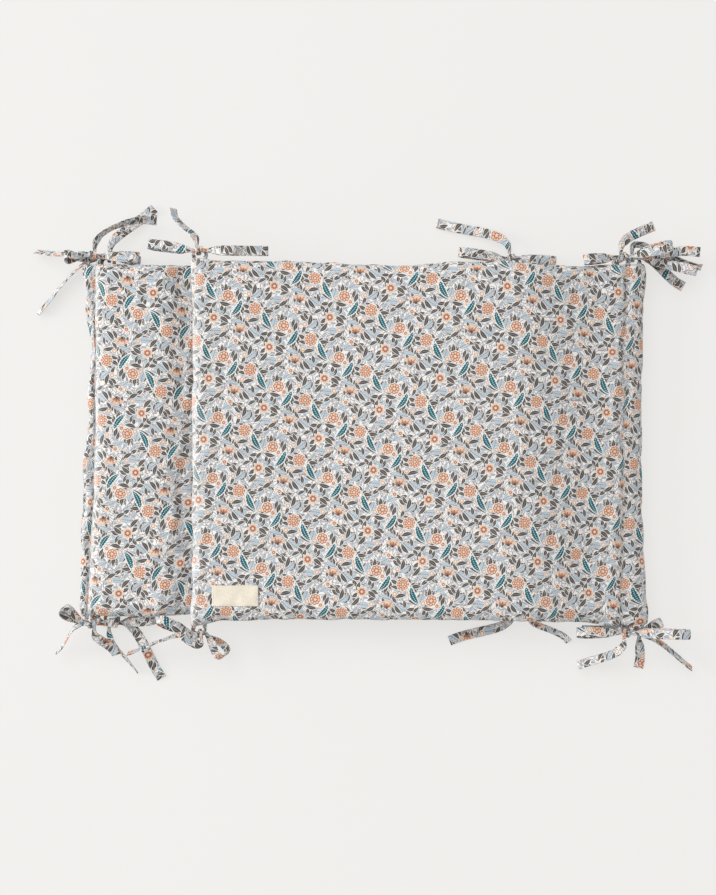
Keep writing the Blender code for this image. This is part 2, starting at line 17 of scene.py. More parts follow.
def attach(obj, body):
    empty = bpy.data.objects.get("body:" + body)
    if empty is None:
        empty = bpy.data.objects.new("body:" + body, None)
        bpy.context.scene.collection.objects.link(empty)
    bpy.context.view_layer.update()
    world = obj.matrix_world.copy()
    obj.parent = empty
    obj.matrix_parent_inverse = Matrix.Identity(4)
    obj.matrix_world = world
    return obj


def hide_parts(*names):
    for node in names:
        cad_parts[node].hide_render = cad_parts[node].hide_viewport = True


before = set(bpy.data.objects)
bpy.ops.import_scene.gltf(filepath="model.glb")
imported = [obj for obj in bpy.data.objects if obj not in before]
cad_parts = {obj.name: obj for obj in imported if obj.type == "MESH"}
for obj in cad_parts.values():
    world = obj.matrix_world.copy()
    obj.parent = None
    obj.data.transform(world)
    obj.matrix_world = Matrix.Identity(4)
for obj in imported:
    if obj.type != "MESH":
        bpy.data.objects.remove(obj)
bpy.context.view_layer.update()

# ---------------------------------------------------------------------------------------------
# The bumper: one long padded strip, two printed cotton faces over wadding, closed by seams all
# round and sewn across in four places. It is folded back and forth into cover, middle and under
# panels joined by two narrow spines, and the right-hand fold sags past the under panel's end.

PANEL_HALF = 0.0108        # half the padding of a panel
SPINE_HALF = 0.0050        # and of a spine, on its outside and its inside
SPINE_INSIDE = 0.0018
STITCH_HALF = 0.0013       # and of a sewn channel
SPINE_RUN = 0.040          # the width of a spine, along the strip
SWELL_AT_RIM = 0.020       # how far in from its seams the padding is full
SWELL_AT_STITCH = 0.016
SWELL_AT_FREE_END = 0.012
SWELL_POWER = 2.3
UNDER_HEIGHT = PANEL_HALF
LAYER_PITCH = 0.0235       # from the middle of one layer to the middle of the next
SEAM_SINKS = 0.0030        # how far the long seams and the cover's free end lie lower
FREE_END_SINKS = 0.0050
PRESSED = 0.0024           # how much thinner half the padding is under the cover's free end
PRESS_ROWS = ((-0.238, 0.0), (-0.174, 1.0), (-0.080, 1.0), (0.120, 0.0))
DENT = 0.0040              # how deep the cover's free end lies in the middle panel's cloth
DENT_ROWS = ((-0.240, 0.0), (-0.200, 1.0), (-0.180, 1.0), (-0.140, 0.0))
SAG_STARTS = 0.1595        # where the upper layers come down past the under panel's end
SAG_ENDS = 0.2775
COVER_END = -0.1968
UNDER_END = 0.1875
END_DRAWN_IN = 0.0034      # how far a free end is drawn in between its corners, how suddenly
END_POWER = 6
RIGHT_STITCH = 0.2878
RIGHT_STITCH_SKEW = 0.0027
RIGHT_FOLD = 0.3107
RIGHT_FOLD_DRAWN_IN = 0.0075
RIGHT_FOLD_POWER = 2.2
RIGHT_FOLD_WAIST = 0.1     # where the fold is drawn in most, as a share of the half height
LEFT_STITCH = -0.3080
LEFT_STITCH_SKEW = 0.0085
LEFT_SKEW_POWER = 1.5
LEFT_SKEW_BELOW = 0.1      # where the stitch begins to lean, as a share of the half height
LEFT_FOLD_ROWS = (  # share of the half height, outer face of the fold
    (-1.0, -0.3290),
    (-0.6, -0.3273),
    (-0.2, -0.3252),
    (0.2, -0.3185),
    (0.5, -0.3165),
    (0.8, -0.3222),
    (1.0, -0.3270),
)
FOLD_POWERS = {"right_spine": 1.35, "left_spine": 0.8}    # how pointed, from 0.8 round to 2
SEAM_ROWS = (  # section, share of its length, upper seam, base seam
    ("cover", 0.00, 0.2088, -0.2055),
    ("cover", 0.08, 0.2062, -0.1998),
    ("cover", 0.20, 0.2058, -0.1985),
    ("cover", 0.48, 0.2003, -0.1984),
    ("cover", 0.60, 0.2042, -0.1986),
    ("cover", 0.70, 0.2046, -0.1988),
    ("cover", 0.85, 0.2009, -0.2012),
    ("cover", 1.00, 0.2030, -0.2062),
    ("right_spine", 0.00, 0.2030, -0.2062),
    ("right_spine", 0.50, 0.2052, -0.2070),
    ("right_spine", 1.00, 0.1990, -0.2005),
    ("middle", 0.00, 0.1990, -0.2005),
    ("middle", 0.30, 0.1955, -0.1960),
    ("middle", 0.75, 0.2020, -0.1925),
    ("middle", 0.89, 0.2028, -0.1970),
    ("middle", 1.00, 0.2036, -0.1955),
    ("left_spine", 0.00, 0.2036, -0.1955),
    ("left_spine", 0.50, 0.2050, -0.1975),
    ("left_spine", 1.00, 0.2020, -0.1945),
    ("under", 0.00, 0.2020, -0.1945),
    ("under", 0.50, 0.1965, -0.1905),
    ("under", 1.00, 0.1985, -0.1940),
)

# The mesh: how far apart its rows stand along each section, and its points across the strip.
ROW_STEPS = {
    "cover": 0.0060,
    "right_spine": 0.0046,
    "middle": 0.0200,
    "left_spine": 0.0042,
    "under": 0.0200,
}
SPINE_LENGTHS = {"right_spine": 0.052, "left_spine": 0.040}
MIDDLE_SHOWS_TO = -0.185   # the middle panel shows left of this, so its rows are closer there
MIDDLE_SHOWN_STEP = 0.0060
ACROSS_STEP = 0.0090
STRIP_WIDTH = 0.4
RIM_PLACES = (0.0, 0.0011, 0.0030, 0.0060, 0.0100, 0.0150, 0.0200)
SEAM_TUCK = 0.0011         # the seam's own line lies in a small groove
LIPS = {  # rows inwards from the seam or stitch, or outwards where negative, and how X and Z move
    "free_end": (
        (0, 0.0020, 0.0), (1, -0.0005, 0.0), (2, -0.0014, 0.0), (3, -0.0002, 0.0), (4, 0.0004, 0.0),
    ),
    "left_stitch": (
        (-2, 0.0002, 0.0004), (-1, 0.0018, -0.0017), (0, -0.0012, -0.0060), (1, -0.0024, -0.0003),
        (2, -0.0016, 0.0), (3, -0.0006, 0.0), (4, 0.0002, 0.0),
    ),
    "left_inside": ((-1, 0.0, -0.0015), (0, -0.0012, -0.0042), (1, -0.0010, -0.0020)),
}

Row = namedtuple("Row", "section share")


def swell(distance, reach):
    """How full the padding is at a distance from a seam, from 0 at the seam to 1."""
    left = 1.0 - min(max(distance / reach, 0.0), 1.0)
    return (1.0 - left**SWELL_POWER) ** (1.0 / SWELL_POWER)


def ease(share):
    share = min(max(share, 0.0), 1.0)
    return share * share * (3.0 - 2.0 * share)


def between(rows, at):
    """A smooth value read from rows of (place, value)."""
    for (low, first), (high, second) in zip(rows, rows[1:]):
        if at <= high:
            return first + (second - first) * ease((at - low) / (high - low))
    return rows[-1][1]


def signed_power(value, power):
    return math.copysign(abs(value) ** power, value)


def seam(section, share, upper):
    rows = [(at, top if upper else base) for name, at, top, base in SEAM_ROWS if name == section]
    return between(rows, share)


def sag(x):
    return LAYER_PITCH * ease((x - SAG_STARTS) / (SAG_ENDS - SAG_STARTS))


def pressed(x):
    return PRESSED * between(PRESS_ROWS, x)


def strip_line(section, share, side):
    """X and Z of the strip's middle line, where side runs from -1 at the base seam to 1."""
    left = LEFT_STITCH - LEFT_STITCH_SKEW * max(LEFT_SKEW_BELOW - side, 0.0) ** LEFT_SKEW_POWER
    right = RIGHT_STITCH + RIGHT_STITCH_SKEW * side
    if section == "cover":
        free = COVER_END - END_DRAWN_IN * side**END_POWER
        x = free + (right - free) * share
        sunk = FREE_END_SINKS * (1 - swell(x - free, SWELL_AT_FREE_END))
        return x, UNDER_HEIGHT + 2 * LAYER_PITCH - sag(x) - 4 * pressed(x) - sunk
    if section == "middle":
        x = right + (left - right) * share
        return x, UNDER_HEIGHT + LAYER_PITCH - sag(x) - 3 * pressed(x)
    if section == "under":
        free = UNDER_END + END_DRAWN_IN * side**END_POWER
        x = left + (free - left) * share
        return x, UNDER_HEIGHT - pressed(x)
    power = FOLD_POWERS[section]
    bulge = math.sin(math.pi * share) ** power
    z = UNDER_HEIGHT + LAYER_PITCH / 2 * (1 + signed_power(math.cos(math.pi * share), power))
    if section == "right_spine":
        away = abs(side - RIGHT_FOLD_WAIST)
        outer = RIGHT_FOLD + RIGHT_FOLD_DRAWN_IN * away**RIGHT_FOLD_POWER - SPINE_HALF
        return right + (outer - right) * bulge, z
    outer = between(LEFT_FOLD_ROWS, side) + SPINE_HALF
    return left + (outer - left) * bulge, z


def padding(section, face, from_start, from_end):
    """Half the padding on one face between its cross seams. A spine is full on its outside."""
    if section in SPINE_LENGTHS:
        outside = "front" if section == "right_spine" else "back"
        half = SPINE_HALF if face == outside else SPINE_INSIDE
        return STITCH_HALF + (half - STITCH_HALF) * swell(min(from_start, from_end), SWELL_AT_STITCH / 2)
    half = PANEL_HALF
    for distance, free in ((from_start, section == "cover"), (from_end, section == "under")):
        reach, least = (SWELL_AT_FREE_END, 0.0) if free else (SWELL_AT_STITCH, STITCH_HALF)
        half = min(half, least + (PANEL_HALF - least) * swell(distance, reach))
    return half


def half_padding(row, face, x, run):
    """Half the padding of a row, thinner where the cover's free end presses on it."""
    half = padding(row.section, face, run * row.share, run * (1 - row.share))
    if row.section in ("middle", "under"):
        half *= 1 - pressed(x) / PANEL_HALF
    if row.section == "middle" and face == "back":
        half -= DENT * between(DENT_ROWS, x)
    return half


def strip_rows():
    """Every row of the mesh along the strip, closer together beside a seam."""
    rows = []
    for section, step in ROW_STEPS.items():
        if section in SPINE_LENGTHS:
            shares = np.linspace(0, 1, round(SPINE_LENGTHS[section] / step) + 1)
        else:
            start, end = (strip_line(section, share, 0.0)[0] for share in (0, 1))
            length = abs(end - start)
            places = set()
            at = RIM_PLACES[-1]
            while at < length - RIM_PLACES[-1] - step / 2:
                places.add(at)
                x = start + (end - start) * at / length
                shown = section == "middle" and x < MIDDLE_SHOWS_TO
                at += MIDDLE_SHOWN_STEP if shown else step
            places.update(RIM_PLACES[:-1])
            places.update(length - place for place in RIM_PLACES)
            shares = [place / length for place in sorted(places)]
        rows += [Row(section, float(share)) for share in shares[(1 if rows else 0):]]
    return rows


def strip_faces(rows):
    """The strip's two faces as grids of points, [row][place across]: front, back."""
    count = round((STRIP_WIDTH - 2 * RIM_PLACES[-1]) / ACROSS_STEP)
    middle, halves = [], {"front": [], "back": []}
    for row in rows:
        top, base = seam(*row, True), seam(*row, False)
        inner = np.linspace(base + RIM_PLACES[-1], top - RIM_PLACES[-1], count + 1)[1:-1]
        across = [base + d for d in RIM_PLACES] + list(inner) + [top - d for d in reversed(RIM_PLACES)]
        line, thick = [], {"front": [], "back": []}
        for y in across:
            side = (2 * y - top - base) / (top - base)
            x, z = strip_line(row.section, row.share, side)
            start, end = (strip_line(row.section, at, side) for at in (0, 1))
            run = SPINE_RUN if row.section in SPINE_LENGTHS else abs(end[0] - start[0])
            full = swell(min(y - base, top - y), SWELL_AT_RIM)
            line.append((x, y, z - SEAM_SINKS * (1 - full)))
            for face in halves:
                thick[face].append(full * half_padding(row, face, x, run))
        line[0] = (line[0][0], line[0][1] + SEAM_TUCK, line[0][2])
        line[-1] = (line[-1][0], line[-1][1] - SEAM_TUCK, line[-1][2])
        middle.append(line)
        for face in halves:
            halves[face].append(thick[face])
    middle = np.array(middle)
    along = np.gradient(middle, axis=0)
    normal = np.stack([-along[..., 2], np.zeros(middle.shape[:2]), along[..., 0]], axis=2)
    normal /= np.linalg.norm(normal, axis=2, keepdims=True)
    middle[-1, :, 0] -= SEAM_TUCK
    front = middle + normal * np.array(halves["front"])[..., None]
    back = middle - normal * np.array(halves["back"])[..., None]
    for face in (front, back):
        face[..., 2] = np.maximum(face[..., 2], 0.0)
    hang_over(front, "free_end", 0, 1)
    hang_over(back, "left_stitch", left_stitch_row(rows), -1)
    hang_over(front, "left_inside", left_stitch_row(rows), -1)
    back[0] = front[0]
    return front, back


def sewn_rows(rows):
    """The rows that are sewn right through: the two free ends and the four cross seams."""
    changes = [i - 1 for i in range(1, len(rows)) if rows[i - 1].section != rows[i].section]
    return [0, *changes, len(rows) - 1]


def left_stitch_row(rows):
    """The row where the middle panel ends, at the left fold."""
    return sewn_rows(rows)[3]


def hang_over(face, lip, row, inwards):
    """Lets a panel's edge hang a little over its seam or stitch, which lies hidden under it."""
    last = face.shape[1] - 1
    full = np.array([ease(min(j, last - j) / len(RIM_PLACES)) for j in range(last + 1)])
    for step, along, up in LIPS[lip]:
        face[row + inwards * step, :, 0] += along * full
        face[row + inwards * step, :, 2] += up * full


def flat_places(points):
    """Where each point of a face lay on the flat cloth: metres along the strip and across it."""
    centre = points.shape[1] // 2
    steps = np.linalg.norm(np.diff(points[:, centre], axis=0), axis=1)
    along = np.concatenate([[0.0], np.cumsum(steps)])
    across = np.cumsum(np.linalg.norm(np.diff(points, axis=1), axis=2), axis=1)
    across = np.concatenate([np.zeros((len(points), 1)), across], axis=1)
    across -= across[:, centre:centre + 1]
    return np.stack([np.broadcast_to(along[:, None], across.shape), across], axis=2)


def seam_gaps(rows, places):
    """How far each point of a face lies from the nearest long seam and cross seam, on the cloth."""
    across = places[..., 1]
    long_gap = np.minimum(across - across[:, :1], across[:, -1:] - across)
    sewn = [places[i, 0, 0] for i in sewn_rows(rows)]
    cross_gap = np.min([np.abs(places[..., 0] - at) for at in sewn], axis=0)
    return long_gap, cross_gap


PUCKER_KEYS = ("along", "across", "long_gap", "cross_gap")
BACK_PRINT_SHIFT = 0.031   # how far along the lower cloth was cut from the upper one


def pad_mesh(name, rows, front, back):
    """The closed pad of the two faces. Its UV map is the flat cloth, in metres, with the lower
    cloth's print upside down, as it was cut, and four layers keep what the puckers need."""
    count, columns = front.shape[:2]
    mesh = bmesh.new()
    flat = mesh.loops.layers.uv.new("cloth")
    layers = [mesh.verts.layers.float.new(key) for key in PUCKER_KEYS]
    sheets = []
    for points in (front, back):
        places = flat_places(points)
        long_gap, cross_gap = seam_gaps(rows, places)
        sheet = []
        for i in range(count):
            line = []
            for j in range(columns):
                rim = i in (0, count - 1) or j in (0, columns - 1)
                if sheets and rim:
                    vertex = sheets[0][0][i][j]
                else:
                    vertex = mesh.verts.new(points[i, j])
                    values = (*places[i, j], long_gap[i, j], cross_gap[i, j])
                    for layer, value in zip(layers, values):
                        vertex[layer] = value
                line.append(vertex)
            sheet.append(line)
        sheets.append((sheet, places))
    for turned, (sheet, places) in enumerate(sheets):
        for i in range(count - 1):
            for j in range(columns - 1):
                corners = [(i, j), (i + 1, j), (i + 1, j + 1), (i, j + 1)]
                if turned:
                    corners.reverse()
                face = mesh.faces.new([sheet[a][b] for a, b in corners])
                for loop, corner in zip(face.loops, corners):
                    u, v = places[corner]
                    loop[flat].uv = (u + BACK_PRINT_SHIFT, -v) if turned else (u, v)
    data = bpy.data.meshes.new(name)
    mesh.to_mesh(data)
    mesh.free()
    pad = bpy.data.objects.new(name, data)
    bpy.context.scene.collection.objects.link(pad)
    return pad


ROOM_OUTSIDE = 0.0035      # how far the cloth may move, in the open and where it is pressed
ROOM_INSIDE = 0.0006
ROOM_AT_FLOOR = 0.0004
HOLD_OUTSIDE = 0.35        # how firmly the wadding holds it, in the open and where it is pressed
HOLD_INSIDE = 0.80
PRESSED_NEAR = 0.006       # how far out from the cover's free end, and up from the floor
CLOTH_EXTRA = 0.035        # the cloth is cut this share larger than the seams leave room for
CLOTH_FRAMES = 18
FILLING_PRESSURE = 1.2


def cloth_freedom(rows, front, back):
    """How far each vertex's cloth may move, and how firmly it's held, in the order of the mesh."""
    count, columns = front.shape[:2]
    sewn = sewn_rows(rows)
    room, hold = [], []
    for face, points in (("front", front), ("back", back)):
        for i, row in enumerate(rows):
            for j in range(columns):
                rim = i in (0, count - 1) or j in (0, columns - 1)
                if rim and face == "back":
                    continue
                x, z = points[i, j, 0], points[i, j, 2]
                shown = row.section in ("cover", "right_spine") and face == "front"
                shown |= row.section == "left_spine" and face == "back"
                shown |= row.section == "middle" and face == "back" and x < COVER_END - PRESSED_NEAR
                if rim or i in sewn:
                    room.append(0.0)
                    hold.append(1.0)
                elif shown:
                    room.append(ROOM_OUTSIDE)
                    hold.append(HOLD_OUTSIDE)
                else:
                    room.append(ROOM_AT_FLOOR if z < PRESSED_NEAR else ROOM_INSIDE)
                    hold.append(HOLD_INSIDE)
    return np.array(room), np.array(hold)


def settle_cloth(pad, room, hold):
    """Lets the two faces' cloth find its own shape between the seams, filled from within, and
    keeps as much of it as the neighbouring layers leave room for."""
    still = np.array([vertex.co for vertex in pad.data.vertices])
    group = pad.vertex_groups.new(name="held")
    for index, share in enumerate(hold):
        group.add([index], float(share), "REPLACE")
    cloth = pad.modifiers.new("cloth", "CLOTH")
    settings = cloth.settings
    settings.vertex_group_mass = group.name
    settings.pin_stiffness = 1.0
    settings.quality = 6
    settings.mass = 0.25
    settings.tension_stiffness = settings.compression_stiffness = 18
    settings.shear_stiffness = 8
    settings.bending_stiffness = 0.12
    settings.air_damping = 4
    settings.use_pressure = True
    settings.uniform_pressure_force = FILLING_PRESSURE
    settings.shrink_min = -CLOTH_EXTRA
    settings.effector_weights.gravity = 0
    cloth.collision_settings.use_collision = False
    scene = bpy.context.scene
    scene.frame_start, scene.frame_end = 1, CLOTH_FRAMES
    cloth.point_cache.frame_start, cloth.point_cache.frame_end = 1, CLOTH_FRAMES
    for moment in range(1, CLOTH_FRAMES + 1):
        scene.frame_set(moment)
    settled = pad.evaluated_get(bpy.context.evaluated_depsgraph_get()).to_mesh()
    moved = np.array([vertex.co for vertex in settled.vertices]) - still
    pad.modifiers.remove(cloth)
    pad.vertex_groups.remove(group)
    scene.frame_set(1)
    size = np.maximum(np.linalg.norm(moved, axis=1), 1e-9)
    kept = room * np.tanh(size / np.maximum(room, 1e-9))
    still += moved * (kept / size)[:, None]
    still[:, 2] = np.maximum(still[:, 2], 0.0)
    pad.data.vertices.foreach_set("co", still.astype(np.float32).ravel())
    pad.data.update()


def subdivide(piece, levels):
    """Gives a piece its subdivided mesh for good."""
    smoother = piece.modifiers.new("subdivision", "SUBSURF")
    smoother.levels = smoother.render_levels = levels
    smoother.uv_smooth = "PRESERVE_BOUNDARIES"
    finer = bpy.data.meshes.new_from_object(piece.evaluated_get(bpy.context.evaluated_depsgraph_get()))
    piece.modifiers.clear()
    finer.name = piece.name
    piece.data = finer
    finer.shade_smooth()


RIPPLE_STRAYS = 0.3        # how unevenly its crests stand, as a share of their spacing
RIPPLE_STEPS = 8           # steps from crest to crest, and how many of them are smoothed together
RIPPLE_SMOOTHED = 7


def ripple(chance, places, spacing):
    """A smooth random curve from -1 to 1, read at places along a seam."""
    knots = np.arange(places.min() - spacing, places.max() + 2 * spacing, spacing)
    knots += chance.uniform(-RIPPLE_STRAYS, RIPPLE_STRAYS, len(knots)) * spacing
    fine = np.linspace(knots[0], knots[-1], len(knots) * RIPPLE_STEPS)
    heights = np.interp(fine, knots, chance.uniform(-1, 1, len(knots)))
    soft = np.convolve(heights, np.ones(RIPPLE_SMOOTHED) / RIPPLE_SMOOTHED, mode="same")
    return np.interp(places, fine, soft)


Pucker = namedtuple("Pucker", "high spacing reach way gap")
PUCKERS = (  # how high, how far apart and how far in from the seam, and the values they follow
    Pucker(0.0021, 0.0080, 0.0100, "along", "long_gap"),
    Pucker(0.0024, 0.0085, 0.0110, "across", "cross_gap"),
    Pucker(0.0012, 0.0450, 0.0600, "along", "long_gap"),
    Pucker(0.0012, 0.0450, 0.0600, "across", "cross_gap"),
)
REACH_VARIES = 0.7         # how unevenly the puckers run in, and over how many of them
REACH_VARIES_OVER = 2.5
FLAT_AT_SEAM = 0.15        # the share of their reach where they rise from the seam
RISES_LESS = 0.4           # the padding lifts less than the thread draws in


def pucker(piece, chance):
    """Draws the cloth up in small gathers along the seams, which fade out over the padding."""
    data = piece.data
    values = {}
    for key in PUCKER_KEYS:
        values[key] = np.zeros(len(data.vertices), np.float32)
        data.attributes[key].data.foreach_get("value", values[key])
        data.attributes.remove(data.attributes[key])
    points = np.zeros(len(data.vertices) * 3, np.float32)
    data.vertices.foreach_get("co", points)
    points = points.reshape(-1, 3)
    normals = np.zeros_like(points)
    data.vertices.foreach_get("normal", normals.reshape(-1))
    lift = np.zeros(len(points))
    for high, spacing, reach, way, gap in PUCKERS:
        uneven = ripple(chance, values[way], spacing * REACH_VARIES_OVER)
        fades = reach * (1.0 + REACH_VARIES * uneven)
        near = np.exp(-values[gap] / fades) * (1 - np.exp(-values[gap] / (reach * FLAT_AT_SEAM)))
        lift += high * near * ripple(chance, values[way], spacing)
    lift -= np.maximum(lift, 0) * RISES_LESS
    points += normals * lift[:, None]
    points[:, 2] = np.maximum(points[:, 2], 0.0)
    data.vertices.foreach_set("co", points.reshape(-1))
    data.update()


strip = strip_rows()
front_face, back_face = strip_faces(strip)
bumper = pad_mesh("padded_bumper", strip, front_face, back_face)
settle_cloth(bumper, *cloth_freedom(strip, front_face, back_face))
subdivide(bumper, 1)
pucker(bumper, np.random.default_rng(11))


class Thread:
    """A shader socket to reckon with: sums of threads and numbers add their Math nodes."""

    tree = None

    def __init__(self, socket):
        self.socket = socket

    @classmethod
    def feed(cls, node, sockets):
        """Gives a node's sockets their values, or the threads that feed them."""
        for name, value in sockets.items():
            if isinstance(value, Thread):
                cls.tree.links.new(value.socket, node.inputs[name])
            else:
                node.inputs[name].default_value = value

    @classmethod
    def node(cls, kind, settings=None, sockets=None, output=0):
        """Any node: its type, its settings, and the values or threads of its sockets."""
        node = cls.tree.nodes.new("ShaderNode" + kind)
        for name, value in (settings or {}).items():
            setattr(node, name, value)
        cls.feed(node, sockets or {})
        return cls(node.outputs[output])

    def maths(self, operation, *others):
        return Thread.node("Math", {"operation": operation}, dict(enumerate((self, *others))))

    def vector(self, operation, *others):
        """Vector Math with this thread first. DOT_PRODUCT and LENGTH give their value."""
        output = "Value" if operation in ("DOT_PRODUCT", "LENGTH") else 0
        values = dict(enumerate((self, *others)))
        return Thread.node("VectorMath", {"operation": operation}, values, output)

    def __add__(self, other):
        return self.maths("ADD", other)

    def __sub__(self, other):
        return self.maths("SUBTRACT", other)

    def __mul__(self, other):
        return self.maths("MULTIPLY", other)

    __radd__ = __add__
    __rmul__ = __mul__

    def __rsub__(self, other):
        return Thread.node("Math", {"operation": "SUBTRACT"}, {0: other, 1: self})

    def __abs__(self):
        return self.maths("ABSOLUTE")

    def part(self, axis):
        return Thread.node("SeparateXYZ", None, {0: self}, axis)


def new_material(name):
    """A material, whose nodes the threads make from now on, and its shader."""
    material = bpy.data.materials.new(name)
    material.use_nodes = True
    Thread.tree = material.node_tree
    return material, material.node_tree.nodes["Principled BSDF"]


def step_up(value, low, high):
    """0 below low, 1 above high, smooth between. With low above high it steps down instead."""
    limits = {"From Min": low, "From Max": high}
    return Thread.node("MapRange", {"interpolation_type": "SMOOTHSTEP"}, {"Value": value, **limits})


def dye(under, mask, over):
    """One colour printed over another where the mask is 1."""
    under, over = (c if isinstance(c, Thread) else (*c, 1.0) for c in (under, over))
    return Thread.node("Mix", {"data_type": "RGBA"}, {"Factor": mask, 6: under, 7: over}, 2)


def linear(red, green, blue):
    """A colour given as it looks on a screen, from 0 to 1, in the shader's own measure."""
    return tuple(((c + 0.055) / 1.055) ** 2.4 if c > 0.04045 else c / 12.92 for c in (red, green, blue))


GROUND = linear(0.90, 0.89, 0.875)
CREAM = linear(0.90, 0.83, 0.74)
SCROLL = linear(0.60, 0.57, 0.585)
BLUE = linear(0.735, 0.78, 0.81)
BLUE_DEEP = linear(0.43, 0.48, 0.54)
CHARCOAL = linear(0.32, 0.30, 0.285)
CHARCOAL_VEIN = linear(0.55, 0.52, 0.51)
PEACH = linear(0.87, 0.765, 0.68)
TERRACOTTA = linear(0.69, 0.42, 0.30)
PALE_EYE = linear(0.80, 0.84, 0.86)
TEAL = linear(0.09, 0.38, 0.42)
REPEAT = 0.0675            # the print's repeat, in a half drop
LEAN = 0.09                # how far its columns lean, as a share of the repeat
TURN = 2 * math.pi
SEED_SHIFTS = (0.37, 0.61)          # how far each seed moves its cells along and across
MOST_SEEDS = 64
SOFT = 0.0003              # how far a printed edge runs from one colour to the next
BARE_ROUND_LEAF = 0.0006   # how wide the bare ground shows round a leaf and round a flower
BARE_ROUND_FLOWER = 0.0008


def print_lattice():
    """The cloth's place counted in repeats, along two sides of the half-drop's slanted cell."""
    flat = Thread.node("UVMap", {"uv_map": "cloth"})
    cell = REPEAT * (1 - LEAN / 2)
    along = flat.vector("DOT_PRODUCT", (1 / cell, -LEAN / cell, 0))
    across = flat.vector("DOT_PRODUCT", (-0.5 / cell, 1 / cell, 0))
    return Thread.node("CombineXYZ", None, {"X": along, "Y": across})


def strewn(lattice, count, seed, jitter):
    """One place in each of count by count cells of the repeat, turned its own way: metres from
    the nearest such place, as a vector."""
    shift = (SEED_SHIFTS[0] * seed, SEED_SHIFTS[1] * seed, seed)
    cells = lattice.vector("MULTIPLY_ADD", (count, count, 0), shift)
    cell = cells.vector("FLOOR").vector("WRAP", (count, count, MOST_SEEDS), (0, 0, 0))
    chance = Thread.node("TexWhiteNoise", {"noise_dimensions": "3D"}, {"Vector": cell}, "Color")
    centred = (jitter - 1) / 2
    stray = chance.vector("MULTIPLY_ADD", (-jitter, -jitter, 0), (centred, centred, 0))
    place = cells.vector("FRACTION").vector("ADD", stray)
    size = REPEAT / count
    x = place.vector("DOT_PRODUCT", (size, size * LEAN, 0))
    y = place.vector("DOT_PRODUCT", (size / 2, size, 0))
    angle = chance.part("Z") * TURN
    metres = Thread.node("CombineXYZ", None, {"X": x, "Y": y})
    return Thread.node("VectorRotate", {"rotation_type": "Z_AXIS"}, {"Vector": metres, "Angle": angle})


def placed(lattice, at, heading):
    """Metres from the one place at the given share of the repeat, turned to a heading."""
    near = lattice.vector("SUBTRACT", (*at, 0)).vector("WRAP", (0.5, 0.5, 0.5), (-0.5, -0.5, -0.5))
    cos, sin = (REPEAT * f(math.radians(heading)) for f in (math.cos, math.sin))
    x = near.vector("DOT_PRODUCT", (cos + sin / 2, sin + LEAN * cos, 0))
    y = near.vector("DOT_PRODUCT", (cos / 2 - sin, cos - LEAN * sin, 0))
    return Thread.node("CombineXYZ", None, {"X": x, "Y": y})


def within(far, limit):
    """1 where a place lies less far out than the limit, with the print's soft edge."""
    return step_up(far, limit, limit - SOFT)


def beyond(depth, limit):
    """1 where a place lies deeper in than the limit, with the print's soft edge."""
    return step_up(depth, limit, limit + SOFT)


def leaf(cloth, place, length, width, tint, vein, bend=0.0, ribs=0.0):
    """A pointed leaf with a middle vein and a rim of bare ground. One with ribs is outlined."""
    x, y = place.part("X"), place.part("Y")
    square = x * x
    if bend:
        y = square.maths("MULTIPLY_ADD", bend, y)
    away = abs(y)
    inside = square.maths("MULTIPLY_ADD", -2 * width / length**2, width / 2) - away
    cloth = dye(cloth, beyond(inside, -BARE_ROUND_LEAF), GROUND)
    blade = beyond(inside, -0.0001)
    lines = within(away, 0.0004)
    if ribs:
        cloth = dye(cloth, blade, vein)
        blade = beyond(inside, 0.0003)
        slant = (x + away * 1.1) * (TURN / ribs)
        lines = lines.maths("MAXIMUM", step_up(slant.maths("SINE"), 0.75, 1.1))
    cloth = dye(cloth, blade, tint)
    return dye(cloth, lines * beyond(inside, 0.0002), vein)


def fourfold(place, out, aside, heading):
    """Folds a place so that what is printed there shows four times, like a sprig's leaves."""
    middle = {"Location": (out, aside, 0), "Rotation": (0, 0, math.radians(heading))}
    folded = {"Vector": place.vector("ABSOLUTE"), **middle}
    return Thread.node("Mapping", {"vector_type": "TEXTURE"}, folded)


def tendril(cloth, place, radius):
    """A curl of thin line, open on one side."""
    off = abs(place.vector("LENGTH") - radius)
    arc = step_up(off, 0.0006, 0.0002) * step_up(place.part("X"), -radius * 0.7, -radius * 0.6)
    return dye(cloth, arc, SCROLL)


def scrollwork(cloth, flat, spacing, line):
    """Fine winding lines that fill the ground between the motifs."""
    drift = Thread.node("TexNoise", None, {"Vector": flat, "Scale": 1 / spacing, "Detail": 0.0}, "Fac")
    level = (drift * 7).maths("PINGPONG", 0.5)
    return dye(cloth, step_up(level, line, line * 0.4), SCROLL)


def stems(cloth, lattice, count, sway, waves):
    """Thin winding stems that run through the whole print."""
    s, t = lattice.part("X"), lattice.part("Y")
    winding = (s * (TURN * waves)).maths("SINE").maths("MULTIPLY_ADD", sway, t * count)
    off = abs(winding.maths("PINGPONG", 0.5) - 0.25)
    return dye(cloth, step_up(off, 0.0005 * count / REPEAT, 0.0002 * count / REPEAT), SCROLL)


def polar(place):
    """How far a place lies from the middle of its motif, and its angle there."""
    return place.vector("LENGTH"), place.part("Y").maths("ARCTAN2", place.part("X"))


